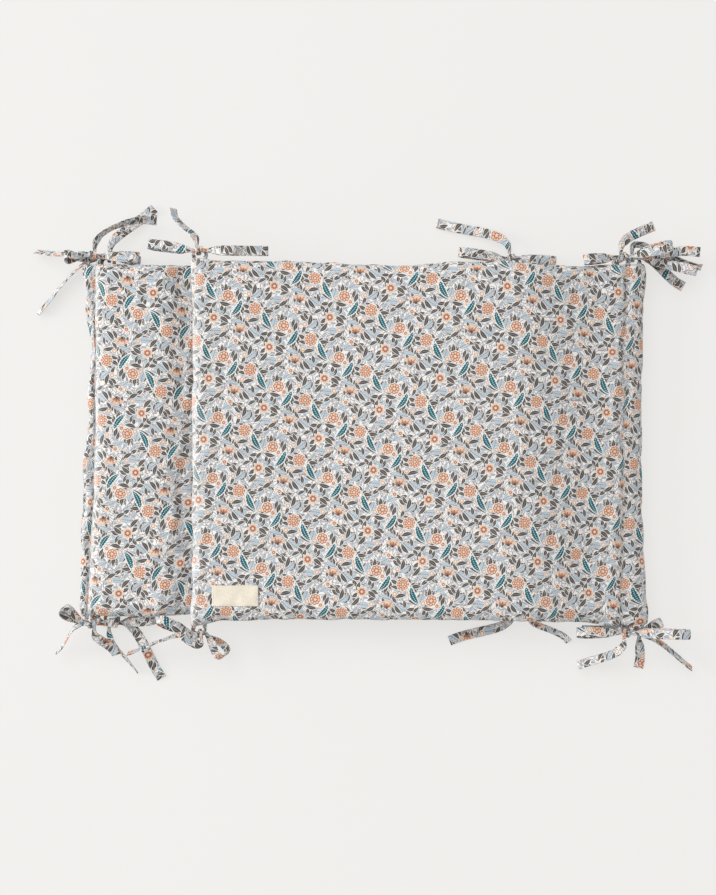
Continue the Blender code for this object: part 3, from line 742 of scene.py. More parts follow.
def blossom(cloth, place, petals, radius, notch, eye):
    """A round flower: pale petals with dark lines between, a dark ring and an eye."""
    far, angle = polar(place)
    lobes = (angle * petals).maths("COSINE")
    edge = lobes.maths("MULTIPLY_ADD", -notch, far)
    inside = within(edge, radius)
    cloth = dye(cloth, within(edge, radius + BARE_ROUND_FLOWER), GROUND)
    cloth = dye(cloth, inside, PEACH)
    cloth = dye(cloth, step_up(lobes, -0.55, -0.9) * inside, TERRACOTTA)
    ring = step_up(abs(far - radius * 0.42), radius * 0.26, radius * 0.08)
    cloth = dye(cloth, ring, TERRACOTTA)
    return dye(cloth, step_up(far, radius * 0.26, radius * 0.18), eye)


def bud(cloth, place, radius):
    """A small round bud: cream, with a terracotta outline."""
    far = place.vector("LENGTH")
    cloth = dye(cloth, step_up(far, radius + 0.0007, radius + 0.0004), GROUND)
    cloth = dye(cloth, step_up(far, radius, radius - 0.0002), TERRACOTTA)
    return dye(cloth, step_up(far, radius - 0.0005, radius - 0.0009), CREAM)


def rosette(cloth, place, radius, rows):
    """A full round flower: rows of small petals, each pale with a terracotta outline."""
    far, angle = polar(place)
    outer = (angle * 8).maths("COSINE").maths("MULTIPLY_ADD", -0.0004, far)
    inside = within(outer, radius)
    cloth = dye(cloth, within(outer, radius + BARE_ROUND_FLOWER), GROUND)
    cloth = dye(cloth, inside, PEACH)
    row = (far * (rows / radius)).maths("FLOOR")
    petal = (row * 3 + 5) * angle * (1 / TURN) + row * 0.5
    across = abs(petal.maths("FRACT") - 0.5)
    up = (far * (rows / radius)).maths("FRACT")
    scallop = across * across * 1.8 + up
    edges = step_up(scallop, 0.62, 0.82).maths("MAXIMUM", step_up(across, 0.32, 0.42))
    cloth = dye(cloth, edges * inside, TERRACOTTA)
    return dye(cloth, step_up(far, 0.0011, 0.0007), PALE_EYE)


def fan_flower(cloth, place, radius):
    """A flower from the side: a fan of petals, darker at the stalk and the rim, and stamens."""
    far, angle = polar(place)
    lobes = abs((angle * 2.5).maths("COSINE"))
    edge = lobes.maths("MULTIPLY_ADD", -0.0012, far)
    fan = step_up(abs(angle), 1.30, 1.20)
    cloth = dye(cloth, within(edge, radius + BARE_ROUND_LEAF) * fan, GROUND)
    inside = within(edge, radius) * fan
    cloth = dye(cloth, inside, PEACH)
    rim = beyond(edge, radius - 0.0007)
    darker = step_up(far, radius * 0.85, radius * 0.2).maths("MAXIMUM", rim)
    cloth = dye(cloth, (darker + step_up(lobes, 0.22, 0.10)) * inside, TERRACOTTA)
    stamens = step_up((angle * 7).maths("COSINE"), 0.72, 0.92)
    stamens = stamens * step_up(far, radius * 0.72, radius * 0.62)
    cloth = dye(cloth, stamens * inside, CHARCOAL)
    return dye(cloth, step_up(far, 0.0017, 0.0013), CHARCOAL)


TOOTH_PITCH = 0.0028
TOOTH_DEEP = 0.00045
DASH_PITCH = 0.0022


def frond(cloth, place, length, width, bend):
    """A feathery leaf: a bent, toothed blade with a pale, dashed rib."""
    x, y = place.part("X"), place.part("Y")
    square = x * x
    away = abs(square.maths("MULTIPLY_ADD", bend, y))
    teeth = ((x + away * 1.3) * (TURN / TOOTH_PITCH)).maths("SINE")
    blade = square.maths("MULTIPLY_ADD", -2 * width / length**2, width / 2) - away
    inside = teeth.maths("MULTIPLY_ADD", TOOTH_DEEP, blade)
    cloth = dye(cloth, beyond(blade, -2 * BARE_ROUND_LEAF), GROUND)
    cloth = dye(cloth, beyond(inside, 0.0), TEAL)
    dashes = step_up((x * (TURN / DASH_PITCH)).maths("SINE"), -0.2, 0.3) * within(away, 0.0006)
    return dye(cloth, dashes * beyond(inside, 0.0004), PALE_EYE)


Leaves = namedtuple("Leaves", "count seed jitter length width tint vein bend ribs")
SMALL_LEAVES = (
    Leaves(5, 4, 0.12, 0.0115, 0.0052, BLUE, BLUE_DEEP, -14, 0.0024),
    Leaves(6, 10, 0.30, 0.0090, 0.0040, BLUE, BLUE_DEEP, 8, 0.0022),
)
LARGE_LEAVES = (
    Leaves(5, 7, 0.12, 0.0105, 0.0036, CHARCOAL, CHARCOAL_VEIN, -34, 0),
    Leaves(3, 3, 0.20, 0.0145, 0.0066, BLUE, BLUE_DEEP, 12, 0.0028),
    Leaves(4, 6, 0.10, 0.0135, 0.0044, CHARCOAL, CHARCOAL_VEIN, 26, 0),
)


def strew_leaves(cloth, lattice, rows):
    """Prints each row's leaves over what is there, the first row lowest."""
    for count, seed, jitter, *shape in rows:
        cloth = leaf(cloth, strewn(lattice, count, seed, jitter), *shape)
    return cloth


def print_leaves(cloth, lattice, flat):
    """The ground of the print: scrollwork, stems and tendrils, and the strewn leaves over them."""
    turned = {0: lattice, "Rotation": (0, 0, math.pi / 2)}
    cloth = scrollwork(cloth, flat, spacing=0.0115, line=0.16)
    cloth = stems(cloth, lattice, count=3, sway=0.16, waves=2)
    cross = Thread.node("Mapping", {"vector_type": "POINT"}, turned)
    cloth = stems(cloth, cross, count=3, sway=0.13, waves=3)
    cloth = tendril(cloth, strewn(lattice, 6, 12, 0.30), radius=0.0019)
    cloth = tendril(cloth, strewn(lattice, 5, 1, 0.30), radius=0.0040)
    cloth = strew_leaves(cloth, lattice, SMALL_LEAVES)
    sprig = fourfold(strewn(lattice, 3, 5, 0.10), out=0.0052, aside=0.0030, heading=30)
    cloth = leaf(cloth, sprig, 0.0098, 0.0042, CHARCOAL, CHARCOAL_VEIN)
    return strew_leaves(cloth, lattice, LARGE_LEAVES)


def print_flowers(cloth, lattice):
    """The flowers and the fronds, each at its own place in the repeat."""
    cloth = bud(cloth, strewn(lattice, 2, 9, 0.50), radius=0.0024)
    cloth = blossom(cloth, strewn(lattice, 2, 8, 0.60), 5, radius=0.0028, notch=0.0007, eye=CREAM)
    cloth = rosette(cloth, placed(lattice, (0.10, 0.62), 0), radius=0.0068, rows=3)
    cloth = rosette(cloth, placed(lattice, (0.62, 0.08), 40), radius=0.0060, rows=2)
    star = placed(lattice, (0.40, 0.84), 0)
    cloth = blossom(cloth, star, 8, radius=0.0056, notch=0.0012, eye=PALE_EYE)
    cloth = fan_flower(cloth, placed(lattice, (0.86, 0.36), 80), radius=0.0074)
    tall = placed(lattice, (0.30, 0.33), 115)
    beside = tall.vector("SUBTRACT", (0.0030, 0.0040, 0))
    cloth = leaf(cloth, beside, 0.0120, 0.0026, PEACH, TERRACOTTA, bend=16)
    cloth = frond(cloth, tall, length=0.0235, width=0.0060, bend=16)
    short = placed(lattice, (0.80, 0.78), 55)
    return frond(cloth, short, length=0.0230, width=0.0056, bend=-16)


Fade = namedtuple("Fade", "rows at_end at_fold")
EDGE_HIGHLIGHTS = (  # from and to which row of the mesh, counted from the edge, and how far the painted highlight whitens the print there
    Fade((5, 1), 0.32, 0.14),
    Fade((3, 2), 0.10, 0.28),
)
# The near-white that the print is mixed toward for the painted highlight on the edges.
HIGHLIGHT_WHITE = linear(0.90, 0.895, 0.89)
FOLD_EDGE = 0.001


def painted_edge_highlights(cloth, flat):
    """Painted highlight: the print is mixed toward white where the cloth turns over the cover's free
    end, and over the middle panel's edge at the left fold, as light catching those edges would make it:
    palest on the very edge, and less so back from it."""
    along = flat.part("X")
    end = flat_places(front_face)[:, 0, 0]
    fold = flat_places(back_face)[left_stitch_row(strip)::-1, 0, 0] + BACK_PRINT_SHIFT
    before_fold = step_up(along, fold[0] + FOLD_EDGE, fold[0])
    for fade in EDGE_HIGHLIGHTS:
        at_end = step_up(along, *(float(end[row]) for row in fade.rows))
        at_fold = step_up(along, *(float(fold[row]) for row in fade.rows))
        cloth = dye(cloth, at_end * fade.at_end, HIGHLIGHT_WHITE)
        cloth = dye(cloth, at_fold * before_fold * fade.at_fold, HIGHLIGHT_WHITE)
    return cloth


THREAD_PITCH = 0.0009


def plain_weave(flat, pitch):
    """How high the crossing threads of a cloth stand, from -1 to 1."""
    warp = (flat.part("X") * (TURN / pitch)).maths("SINE")
    weft = (flat.part("Y") * (TURN / pitch)).maths("SINE")
    return warp * weft


def relief(height, strength, distance):
    bump = {"Height": height, "Strength": strength, "Distance": distance}
    return Thread.node("Bump", None, bump, "Normal")


def printed_cotton():
    """Plain-woven cotton with a close print of leaves, flowers and fronds."""
    material, shader = new_material("printed_cotton")
    lattice = print_lattice()
    flat = Thread.node("UVMap", {"uv_map": "cloth"})
    cloth = print_leaves(GROUND, lattice, flat)
    cloth = print_flowers(cloth, lattice)
    Thread.feed(shader, {
        # The base colour holds a painted highlight along the cover's free end and the left fold's edge.
        "Base Color": painted_edge_highlights(cloth, flat),
        "Roughness": 0.85,
        "Specular IOR Level": 0.25,
        "Sheen Weight": 0.15,
        "Sheen Roughness": 0.4,
        "Normal": relief(plain_weave(flat, THREAD_PITCH), 0.25, 0.00012),
    })
    return material


cotton = printed_cotton()
bumper.data.materials.append(cotton)
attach(bumper, "root")
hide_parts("bumper")

# ---------------------------------------------------------------------------------------------
# The stitching: cream polyester thread, run through the pad along the four cross seams. A stitch
# is a short bar of twisted thread, sunk a little in the cloth and deeper at its ends.

STITCH_LENGTH = 0.0026
STITCH_GAP = 0.0010
THREAD_RADIUS = 0.00034
THREAD_SINKS = 0.00012
ENDS_SINK = 1.2
THREAD_SIDES = 6
THREAD_RINGS = (  # share of the length from the middle, share of the radius
    (-0.50, 0.35), (-0.40, 0.85), (-0.15, 1.0), (0.15, 1.0), (0.40, 0.85), (0.50, 0.35),
)


def surface_of(piece):
    mesh = bmesh.new()
    mesh.from_mesh(piece.data)
    tree = BVHTree.FromBMesh(mesh)
    mesh.free()
    return tree


def add_stitch(mesh, one, two, up):
    """A short bar of thread from one place to another, thin at its ends."""
    along = (two - one).normalized()
    side = along.cross(up).normalized()
    up = side.cross(along)
    rings = []
    for share, swelling in THREAD_RINGS:
        sunk = THREAD_SINKS * (1 + ENDS_SINK * (1 - swelling))
        place = one.lerp(two, share + 0.5) - up * sunk
        ring = []
        for k in range(THREAD_SIDES):
            angle = TURN * k / THREAD_SIDES
            round_it = side * math.cos(angle) + up * math.sin(angle)
            ring.append(mesh.verts.new(place + round_it * THREAD_RADIUS * swelling))
        rings.append(ring)
    for first, second in zip(rings, rings[1:]):
        for k in range(THREAD_SIDES):
            after = (k + 1) % THREAD_SIDES
            mesh.faces.new((first[k], first[after], second[after], second[k]))
    mesh.faces.new(rings[0][::-1])
    mesh.faces.new(rings[-1])


def stitch_line(mesh, line):
    """Stitches along a line of (place, way out of the cloth), a gap after each."""
    run = 0.0
    starts, ends = STITCH_GAP, STITCH_GAP + STITCH_LENGTH
    first = None
    for (one, up), (two, _) in zip(line, line[1:]):
        length = (two - one).length
        while length and run + length >= (starts if first is None else ends):
            if first is None:
                first = one.lerp(two, (starts - run) / length)
                starts += STITCH_LENGTH + STITCH_GAP
            else:
                add_stitch(mesh, first, one.lerp(two, (ends - run) / length), up)
                first = None
                ends += STITCH_LENGTH + STITCH_GAP
        run += length


def finish_piece(name, mesh, material):
    """A mesh as a smooth object in the scene, with its material."""
    bmesh.ops.recalc_face_normals(mesh, faces=mesh.faces)
    data = bpy.data.meshes.new(name)
    mesh.to_mesh(data)
    mesh.free()
    data.materials.append(material)
    data.shade_smooth()
    piece = bpy.data.objects.new(name, data)
    bpy.context.scene.collection.objects.link(piece)
    return piece


THREAD_CREAM = linear(0.86, 0.84, 0.79)
THREAD_SHADE = linear(0.74, 0.72, 0.67)


def twisted_thread():
    """Cream sewing thread with a fine twist."""
    material, shader = new_material("sewing_thread")
    place = Thread.node("TexCoord", None, None, "Object")
    twist = Thread.node("TexNoise", None, {"Vector": place, "Scale": 1800.0, "Detail": 2.0}, "Fac")
    Thread.feed(shader, {
        "Base Color": dye(THREAD_CREAM, step_up(twist, 0.4, 0.65), THREAD_SHADE),
        "Roughness": 0.6,
        "Normal": relief(twist, 0.5, 0.0001),
    })
    return material


def cross_seam_line(face, row):
    """The cross seam at a row of a face, as places on the finished cloth and the way out."""
    line = []
    for j in range(1, face.shape[1] - 1):
        near, out, _, _ = cloth_surface.find_nearest(Vector(face[row, j]))
        line.append((near, out))
    return line


cloth_surface = surface_of(bumper)
sewing_thread = twisted_thread()
stitching = bmesh.new()
for row in sewn_rows(strip)[1:-1]:
    for face in (front_face, back_face):
        stitch_line(stitching, cross_seam_line(face, row))
seam_stitches = finish_piece("seam_stitches", stitching, sewing_thread)
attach(seam_stitches, "root")

# ---------------------------------------------------------------------------------------------
# The label: a small cream tape, woven, left blank, with its ends turned under. It is sewn on
# flat near the cover panel's free corner, with one row of stitches just inside its edge.

LABEL_SIZE = (0.0516, 0.0234)
LABEL_MIDDLE = (-0.1495, -0.1701)
LABEL_LIFT = 0.0003
LABEL_THICK = 0.0009
LABEL_EDGE = 0.0016        # how far in its stitches run
LABEL_STEP = 0.0008
LABEL_FEELS = (-0.002, 0, 0.002)    # how far round a point it feels the cloth beneath
LABEL_PUFF = 0.00035       # how high it stands between its stitches, and how wide they press it
LABEL_PRESSED = 0.0009
LABEL_WAVES = 0.00018      # how high its waves are, how far apart, and how far in they begin
LABEL_WAVE_SPACING = 0.012
LABEL_WAVES_IN = 0.004
LABEL_RIM_THIN = 0.25      # the rim is this share of its thickness, and round this far in
LABEL_RIM_ROUND = 0.0008
RIB_PITCH = 0.00055
ABOVE_ALL = 0.2            # where a line straight down begins
STRAIGHT_DOWN = Vector((0, 0, -1))


def label_point(u, v, lift):
    """A place on the label: shares of its size from its middle, above the cloth beneath."""
    x = LABEL_MIDDLE[0] + LABEL_SIZE[0] * u
    y = LABEL_MIDDLE[1] + LABEL_SIZE[1] * v
    hits = [
        cloth_surface.ray_cast(Vector((x + a, y + b, ABOVE_ALL)), STRAIGHT_DOWN)[0].z
        for a in LABEL_FEELS for b in LABEL_FEELS
    ]
    below = hits[len(hits) // 2]
    return Vector((x, y, max(below, sum(hits) / len(hits)) + lift))


def build_label():
    """The tape as a thin closed sheet that is pressed down along its stitches."""
    wide, high = (round(size / LABEL_STEP) for size in LABEL_SIZE)
    mesh = bmesh.new()
    flat = mesh.loops.layers.uv.new("cloth")
    chance = np.random.default_rng(3)
    places = np.linspace(0, LABEL_SIZE[0], wide + 1)
    waves = [ripple(chance, places, LABEL_WAVE_SPACING) for _ in range(2)]
    sheets = []
    for side in (0.0, 1.0):
        sheet = []
        for i in range(wide + 1):
            column = []
            for j in range(high + 1):
                u, v = i / wide - 0.5, j / high - 0.5
                edge = min((0.5 - abs(u)) * LABEL_SIZE[0], (0.5 - abs(v)) * LABEL_SIZE[1])
                pressed_in = math.exp(-(((edge - LABEL_EDGE) / LABEL_PRESSED) ** 2))
                wave = waves[0][i] * (0.5 - v) + waves[1][i] * (0.5 + v)
                puff = LABEL_PUFF * (1 - pressed_in)
                puff += LABEL_WAVES * wave * ease(edge / LABEL_WAVES_IN)
                rounded = LABEL_RIM_THIN + (1 - LABEL_RIM_THIN) * ease(edge / LABEL_RIM_ROUND)
                lift = LABEL_LIFT + side * (LABEL_THICK * rounded + puff)
                column.append(mesh.verts.new(label_point(u, v, lift)))
            sheet.append(column)
        sheets.append(sheet)
    under, upper = sheets
    for sheet in sheets:
        for i in range(wide):
            for j in range(high):
                corners = [(i, j), (i + 1, j), (i + 1, j + 1), (i, j + 1)]
                face = mesh.faces.new([sheet[a][b] for a, b in corners])
                for loop, (a, b) in zip(face.loops, corners):
                    loop[flat].uv = (a * LABEL_STEP, b * LABEL_STEP)
    rim = [(i, 0) for i in range(wide)] + [(wide, j) for j in range(high)]
    rim += [(i, high) for i in range(wide, 0, -1)] + [(0, j) for j in range(high, 0, -1)]
    for (a, b), (c, d) in zip(rim, rim[1:] + rim[:1]):
        mesh.faces.new((under[a][b], under[c][d], upper[c][d], upper[a][b]))
    return finish_piece("label_tape", mesh, woven_tape())


TAPE_CREAM = linear(0.898, 0.864, 0.800)
TAPE_SHADE = linear(0.866, 0.828, 0.755)


def woven_tape():
    """Cream woven tape: fine ribs, with a little slub in its yarn and its colour."""
    material, shader = new_material("label_tape")
    flat = Thread.node("UVMap", {"uv_map": "cloth"})
    slub = Thread.node("TexNoise", None, {"Vector": flat, "Scale": 420.0, "Detail": 3.0}, "Fac")
    ribs = plain_weave(flat, RIB_PITCH)
    Thread.feed(shader, {
        "Base Color": dye(TAPE_CREAM, step_up(slub + ribs * 0.08, 0.35, 0.75), TAPE_SHADE),
        "Roughness": 0.6,
        "Sheen Weight": 0.1,
        "Normal": relief(ribs.maths("MULTIPLY_ADD", 0.5, slub), 0.35, 0.0002),
    })
    return material


label = build_label()
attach(label, "root")
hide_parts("label")

label_surface = surface_of(label)
stitching = bmesh.new()
inset = [size / 2 - LABEL_EDGE for size in LABEL_SIZE]
SIDE_POINTS = 40
corners = [(-1, -1), (1, -1), (1, 1), (-1, 1), (-1, -1)]
for (a, b), (c, d) in zip(corners, corners[1:]):
    line = []
    for share in np.linspace(0, 1, SIDE_POINTS):
        x = LABEL_MIDDLE[0] + inset[0] * (a + (c - a) * share)
        y = LABEL_MIDDLE[1] + inset[1] * (b + (d - b) * share)
        line.append(label_surface.ray_cast(Vector((x, y, ABOVE_ALL)), STRAIGHT_DOWN)[:2])
    stitch_line(stitching, line)
label_stitches = finish_piece("label_stitches", stitching, sewing_thread)
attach(label_stitches, "root")

# ---------------------------------------------------------------------------------------------
# The ties: narrow strips of the same printed cotton, folded lengthwise, edge-stitched and cut
# square. They are sewn into the long seams in pairs, and all pairs but one are knotted in bows,
# where a strip gathers into pleats. Each tie lies along the route that its solid has.

TIE_WIDTH = 0.0115
TIE_THICK = 0.0012
TIE_IN_KNOT = 0.0040       # how wide it is gathered inside its knot and at its seam
TIE_AT_SEAM = 0.0050
TIE_STEP = 0.0019
TIE_OFF_FLOOR = 0.0003
SEAM_CLEARANCE = 0.0006
ROOTS_FROM_KNOT = 0.0065   # where a pair's roots are sewn: from the knot, apart, from the rim's end
ROOTS_APART = 0.0080
ROOTS_FROM_END = 0.0030
ROOT_STRAIGHT = 0.0012     # how a root runs up to its knot, beside and below the knot's middle
ROOT_ASIDE = 0.0074
ROOT_BELOW = 0.0056
LONG_ROOT = 0.0120
ROOT_HANGS_AT = 0.6
ENTRY_ASIDE = 0.0064
ENTRY_BELOW = 0.0018
THROUGH_KNOT = (0.0040, -0.0040, -0.0070)
KNOT_LEVEL = 0.0021        # the knot's levels, and how far out of it a loop or tail begins
KNOT_REACH = 0.0070
WRAP_WIDE = 0.0041         # the one turn that wraps the knot
WRAP_HIGH = 0.0047
WRAP_PITCH = 0.0056
WRAP_KEYS = 12
WRAP_POWER = 0.5
WRAP_ENTRY = (0.0040, 0.0002)
WRAP_LEAVES = (0.0050, 0.0044)

# Headings and turns are in degrees: heading 0 is +X, 90 is +Y, and turn 0 is a strip lying
# flat, 90 a strip on its edge. Heights are above the floor.
Loop = namedtuple("Loop", "heading reach spread height turn")
Tail = namedtuple("Tail", "heading reach ends height turn end_turn")
Bow = namedtuple("Bow", "panel knot hand loop_a loop_b tail_a tail_b")
BOWS = {
    "left_fold_top_high": Bow(
        "middle", (-0.3125, 0.2125, 0.0330), -1,
        Loop(-2, 0.0522, 0.0082, 0.0324, 11), Loop(-175, 0.0302, 0.0111, 0.0418, 30),
        Tail(174, 0.0696, 170, 0.0091, 58, 62), Tail(30, 0.0822, -10, 0.0229, 80, 12),
    ),
    "left_fold_top_low": Bow(
        "under", (-0.2985, 0.2120, 0.0090), -1,
        Loop(-5, 0.0366, 0.0069, 0.0097, 7), Loop(-182, 0.0325, 0.0087, 0.0202, -1),
        Tail(-142, 0.1028, -133, 0.0065, 72, 55), Tail(48, 0.0781, 48, 0.0049, 6, 0),
    ),
    "right_fold_top_high": Bow(
        "cover", (0.2870, 0.2109, 0.0345), 1,
        Loop(-174, 0.0460, 0.0063, 0.0462, 11), Loop(12, 0.0530, 0.0103, 0.0543, 21),
        Tail(4, 0.0888, -11, 0.0264, -7, 0), Tail(45, 0.0505, 25, 0.0294, 15, 8),
    ),
    "right_fold_top_low": Bow(
        "middle", (0.3030, 0.2125, 0.0100), 1,
        Loop(-172, 0.0252, 0.0111, 0.0099, 0), Loop(-14, 0.0709, 0.0081, 0.0279, 12),
        Tail(-29, 0.0665, -23, 0.0018, 0, 2), Tail(-9, 0.0766, -5, 0.0202, 63, 59),
    ),
    "cover_end_top": Bow(
        "cover", (-0.1905, 0.2168, 0.0455), 1,
        Loop(172, 0.0584, 0.0080, 0.0408, 12), Loop(-1, 0.0407, 0.0067, 0.0520, 5),
        Tail(0, 0.0770, 0, 0.0418, 4, 6), Tail(122, 0.0574, 85, 0.0350, 62, 50),
    ),
    "under_end_top": Bow(
        "under", (0.1627, 0.2120, 0.0090), 1,
        Loop(173, 0.0601, 0.0080, 0.0100, 4), Loop(-4, 0.0512, 0.0060, 0.0123, 12),
        Tail(-15, 0.0314, -28, 0.0025, 0, 9), Tail(154, 0.0940, 160, 0.0030, 5, 0),
    ),
    "left_fold_base_high": Bow(
        "middle", (-0.3130, -0.2037, 0.0330), 1,
        Loop(1, 0.0272, 0.0060, 0.0242, -3), Loop(150, 0.0363, 0.0130, 0.0496, 53),
        Tail(-141, 0.0551, -138, 0.0180, 76, 80), Tail(-56, 0.0447, -75, 0.0188, 10, 14),
    ),
    "left_fold_base_low": Bow(
        "under", (-0.2940, -0.2050, 0.0100), -1,
        Loop(172, 0.0249, 0.0060, 0.0089, -1), Loop(6, 0.0509, 0.0069, 0.0223, 13),
        Tail(-49, 0.0854, -55, 0.0027, 6, -3), Tail(-63, 0.0647, -57, 0.0085, 60, 80),
    ),
    "cover_end_base": Bow(
        "cover", (-0.1912, -0.2135, 0.0440), 1,
        Loop(-43, 0.0386, 0.0175, 0.0304, 39), Loop(160, 0.0478, 0.0084, 0.0544, 35),
        Tail(-163, 0.0872, -163, 0.0225, 80, 74), Tail(156, 0.0287, 120, 0.0615, 6, -3),
    ),
    "right_fold_base_high": Bow(
        "cover", (0.2905, -0.2141, 0.0340), -1,
        Loop(179, 0.0560, 0.0090, 0.0400, 17), Loop(0, 0.0693, 0.0060, 0.0500, 4),
        Tail(-29, 0.0895, -38, 0.0123, -60, -66), Tail(-143, 0.0650, -157, 0.0138, 45, 35),
    ),
    "right_fold_base_low": Bow(
        "middle", (0.3055, -0.2140, 0.0100), 1,
        Loop(18, 0.0316, 0.0060, 0.0090, 0), Loop(155, 0.0275, 0.0070, 0.0165, -3),
        Tail(180, 0.0609, 178, 0.0040, 0, 6), Tail(-85, 0.0435, -107, 0.0018, -14, 0),
    ),
}
Loose = namedtuple("Loose", "sewn_at leaves heading reach ends height turn")
LOOSE_STRIPS = {
    "under_end_base_a": Loose(0.1680, -132, -157, 0.0820, -155, 0.0018, 0),
    "under_end_base_b": Loose(0.1815, -55, -34, 0.0579, -54, 0.0058, 50),
}
LOOSE_STARTS = (0, 0.0030, 0.0006)
LOOSE_DROPS = 0.1          # how steeply a loose strip leaves its seam downwards

LOOP_KEYS = (  # metres out from the knot, share of the rest, side, opening, turn, width
    (0.0040, 0.00, -0.5, 0.0, 0.00, 0.42),
    (0.0090, 0.00, -0.5, 0.0, 0.35, 0.70),
    (0.0150, 0.00, -0.5, 0.0, 0.75, 0.92),
    (0.0150, 0.55, -0.5, 0.0, 1.00, 1.00),
    (0.0150, 0.88, -0.4, 0.1, 1.00, 1.00),
    (0.0150, 1.00, 0.0, 0.5, 1.00, 1.00),
    (0.0150, 0.88, 0.4, 0.9, 1.00, 1.00),
    (0.0150, 0.55, 0.5, 1.0, 1.00, 1.00),
    (0.0150, 0.00, 0.5, 0.6, 0.75, 0.92),
    (0.0090, 0.00, 0.5, 0.2, 0.35, 0.70),
    (0.0040, 0.00, 0.5, 0.0, 0.00, 0.42),
)
LOOP_STARTS = 0.0150
TAIL_STARTS = 0.0042
TAIL_START_WIDTH = 0.45
TAIL_KEYS = (  # share of the length, width
    (0.12, 0.70),
    (0.27, 0.95),
    (0.45, 1.00),
    (0.64, 1.00),
    (0.83, 1.00),
    (1.00, 1.00),
)
TAIL_BENDS = (0.25, 0.35)  # how far a tail runs straight out of its knot and into its tip
TAIL_SETTLES = 0.1
TAIL_TURNED_BY = 0.3       # the share of its length where a tail has its turn
TIP_TURN_POWER = 3.0
TIE_SECTION = (  # share of the width, share of the half thickness: round, edge-stitched edges
    (-0.500, 0.00), (-0.486, 0.62), (-0.445, 0.95), (-0.405, 0.62), (-0.365, 1.00), (-0.270, 1.06),
    (-0.180, 1.08), (-0.090, 1.10), (0.000, 1.10), (0.090, 1.10), (0.180, 1.08), (0.270, 1.06),
    (0.365, 1.00), (0.405, 0.62), (0.445, 0.95), (0.486, 0.62), (0.500, 0.00),
)
PLEATS = 2.5
PLEAT_DEEP = 0.0008
CUPPING = 0.0007           # how high a strip cups across its width, and how evenly
CUPPING_EVEN = 0.6
CUP_RIM = 0.33
CUP_CURVE = 4
TIE_WAVES = 0.0005
TIE_WAVE_SPACING = 0.0110
KNOT_FULLER = 0.45         # how much thicker a strip is where it is gathered
CUT_FROM = (0.1, 0.8)      # where along the printed cloth a strip is cut, clear of the painted highlight at its edges


def direction(heading):
    return Vector((math.cos(math.radians(heading)), math.sin(math.radians(heading)), 0.0))


def rolled(along, turn):
    """Which way a strip's width points, for a strip that runs along and is turned on its line."""
    side = Vector((0, 0, 1)).cross(along).normalized()
    rise = along.cross(side).normalized()
    return side * math.cos(math.radians(turn)) + rise * math.sin(math.radians(turn))


def rim_of(panel, upper):
    """The long seam that a panel's ties are sewn to, as points in order of X: the panel's
    own rim, and round each fold as far as the spine's middle."""
    spans = {
        "cover": (("cover", 0, 1), ("right_spine", 0, 0.5)),
        "middle": (("right_spine", 0.5, 1), ("middle", 0, 1), ("left_spine", 0, 0.5)),
        "under": (("left_spine", 0.5, 1), ("under", 0, 1)),
    }[panel]
    rim = []
    for row, column in zip(strip, front_face):
        if any(row.section == name and low <= row.share <= high for name, low, high in spans):
            place = Vector(column[-1 if upper else 0])
            place.y += SEAM_TUCK if upper else -SEAM_TUCK
            rim.append(place)
    return sorted(rim, key=lambda place: place.x)


def sewn_point(rim, x):
    """Where a strip leaves a long seam."""
    for one, two in zip(rim, rim[1:]):
        if x <= two.x:
            return one.lerp(two, max((x - one.x) / (two.x - one.x), 0.0))
    return rim[-1]


def loop_keys(first, last, loop, knot):
    """A loop of strip that leaves the knot at one place and comes back to another above it.
    Both legs lie flat beside the knot, then open and turn together."""
    tip = knot + direction(loop.heading) * loop.reach
    tip.z = loop.height
    start = (first + last) / 2
    run = tip - start
    along = Vector((run.x, run.y, 0)).normalized()
    length = Vector((run.x, run.y)).length
    apart = (last - first).length
    keys = []
    for out, share, side, opened, turned, width in LOOP_KEYS:
        reach = out + (length - LOOP_STARTS) * share
        way = rolled(along, loop.turn * turned)
        away = along.cross(way)
        away = away if away.z >= 0 else -away
        place = start + along * reach + Vector((0, 0, run.z * ease(reach / length)))
        leg = Vector((0, 0, apart)).lerp(away * apart, turned) * side
        opening = away * (loop.spread - apart) * (opened - 0.5 * turned)
        keys.append((place + leg + opening, way, TIE_WIDTH * width))
    return keys


def tail_keys(start, leaves, knot, tail):
    """A free end: it leaves the knot level and flat, bends, and ends square at its tip."""
    tip = knot + direction(tail.heading) * tail.reach
    tip.z = tail.height
    clear = start + leaves * TAIL_STARTS
    length = (tip - clear).length
    bend_out = clear + leaves * length * TAIL_BENDS[0]
    bend_in = tip - direction(tail.ends) * length * TAIL_BENDS[1]
    bend_in.z = tip.z + (start.z - tip.z) * TAIL_SETTLES
    found = [(clear, rolled(leaves, 0), TIE_WIDTH * TAIL_START_WIDTH)]
    for share, width in TAIL_KEYS:
        back = 1.0 - share
        place = (
            clear * back**3 + bend_out * (3 * back**2 * share)
            + bend_in * (3 * back * share**2) + tip * share**3
        )
        along = (
            (bend_out - clear) * back**2 + (bend_in - bend_out) * (2 * back * share)
            + (tip - bend_in) * share**2
        ).normalized()
        turn = tail.turn + (tail.end_turn - tail.turn) * share**TIP_TURN_POWER
        turn *= min(share / TAIL_TURNED_BY, 1.0)
        found.append((place, rolled(along, turn), TIE_WIDTH * width))
    return found


def smooth_place(places, knots, i, share):
    """A point of the smooth curve through the places, between place i and the next."""
    one, two = places[i], places[i + 1]
    before = places[i - 1] if i else one * 2 - two
    after = places[i + 2] if i + 2 < len(places) else two * 2 - one
    t1, t2 = knots[i], knots[i + 1]
    t0 = knots[i - 1] if i else t1 - (t2 - t1)
    t3 = knots[i + 2] if i + 2 < len(knots) else t2 + (t2 - t1)
    t = t1 + (t2 - t1) * share
    a = before.lerp(one, (t - t0) / (t1 - t0))
    b = one.lerp(two, (t - t1) / (t2 - t1))
    c = two.lerp(after, (t - t2) / (t3 - t2))
    return a.lerp(b, (t - t0) / (t2 - t0)).lerp(b.lerp(c, (t - t1) / (t3 - t1)), share)


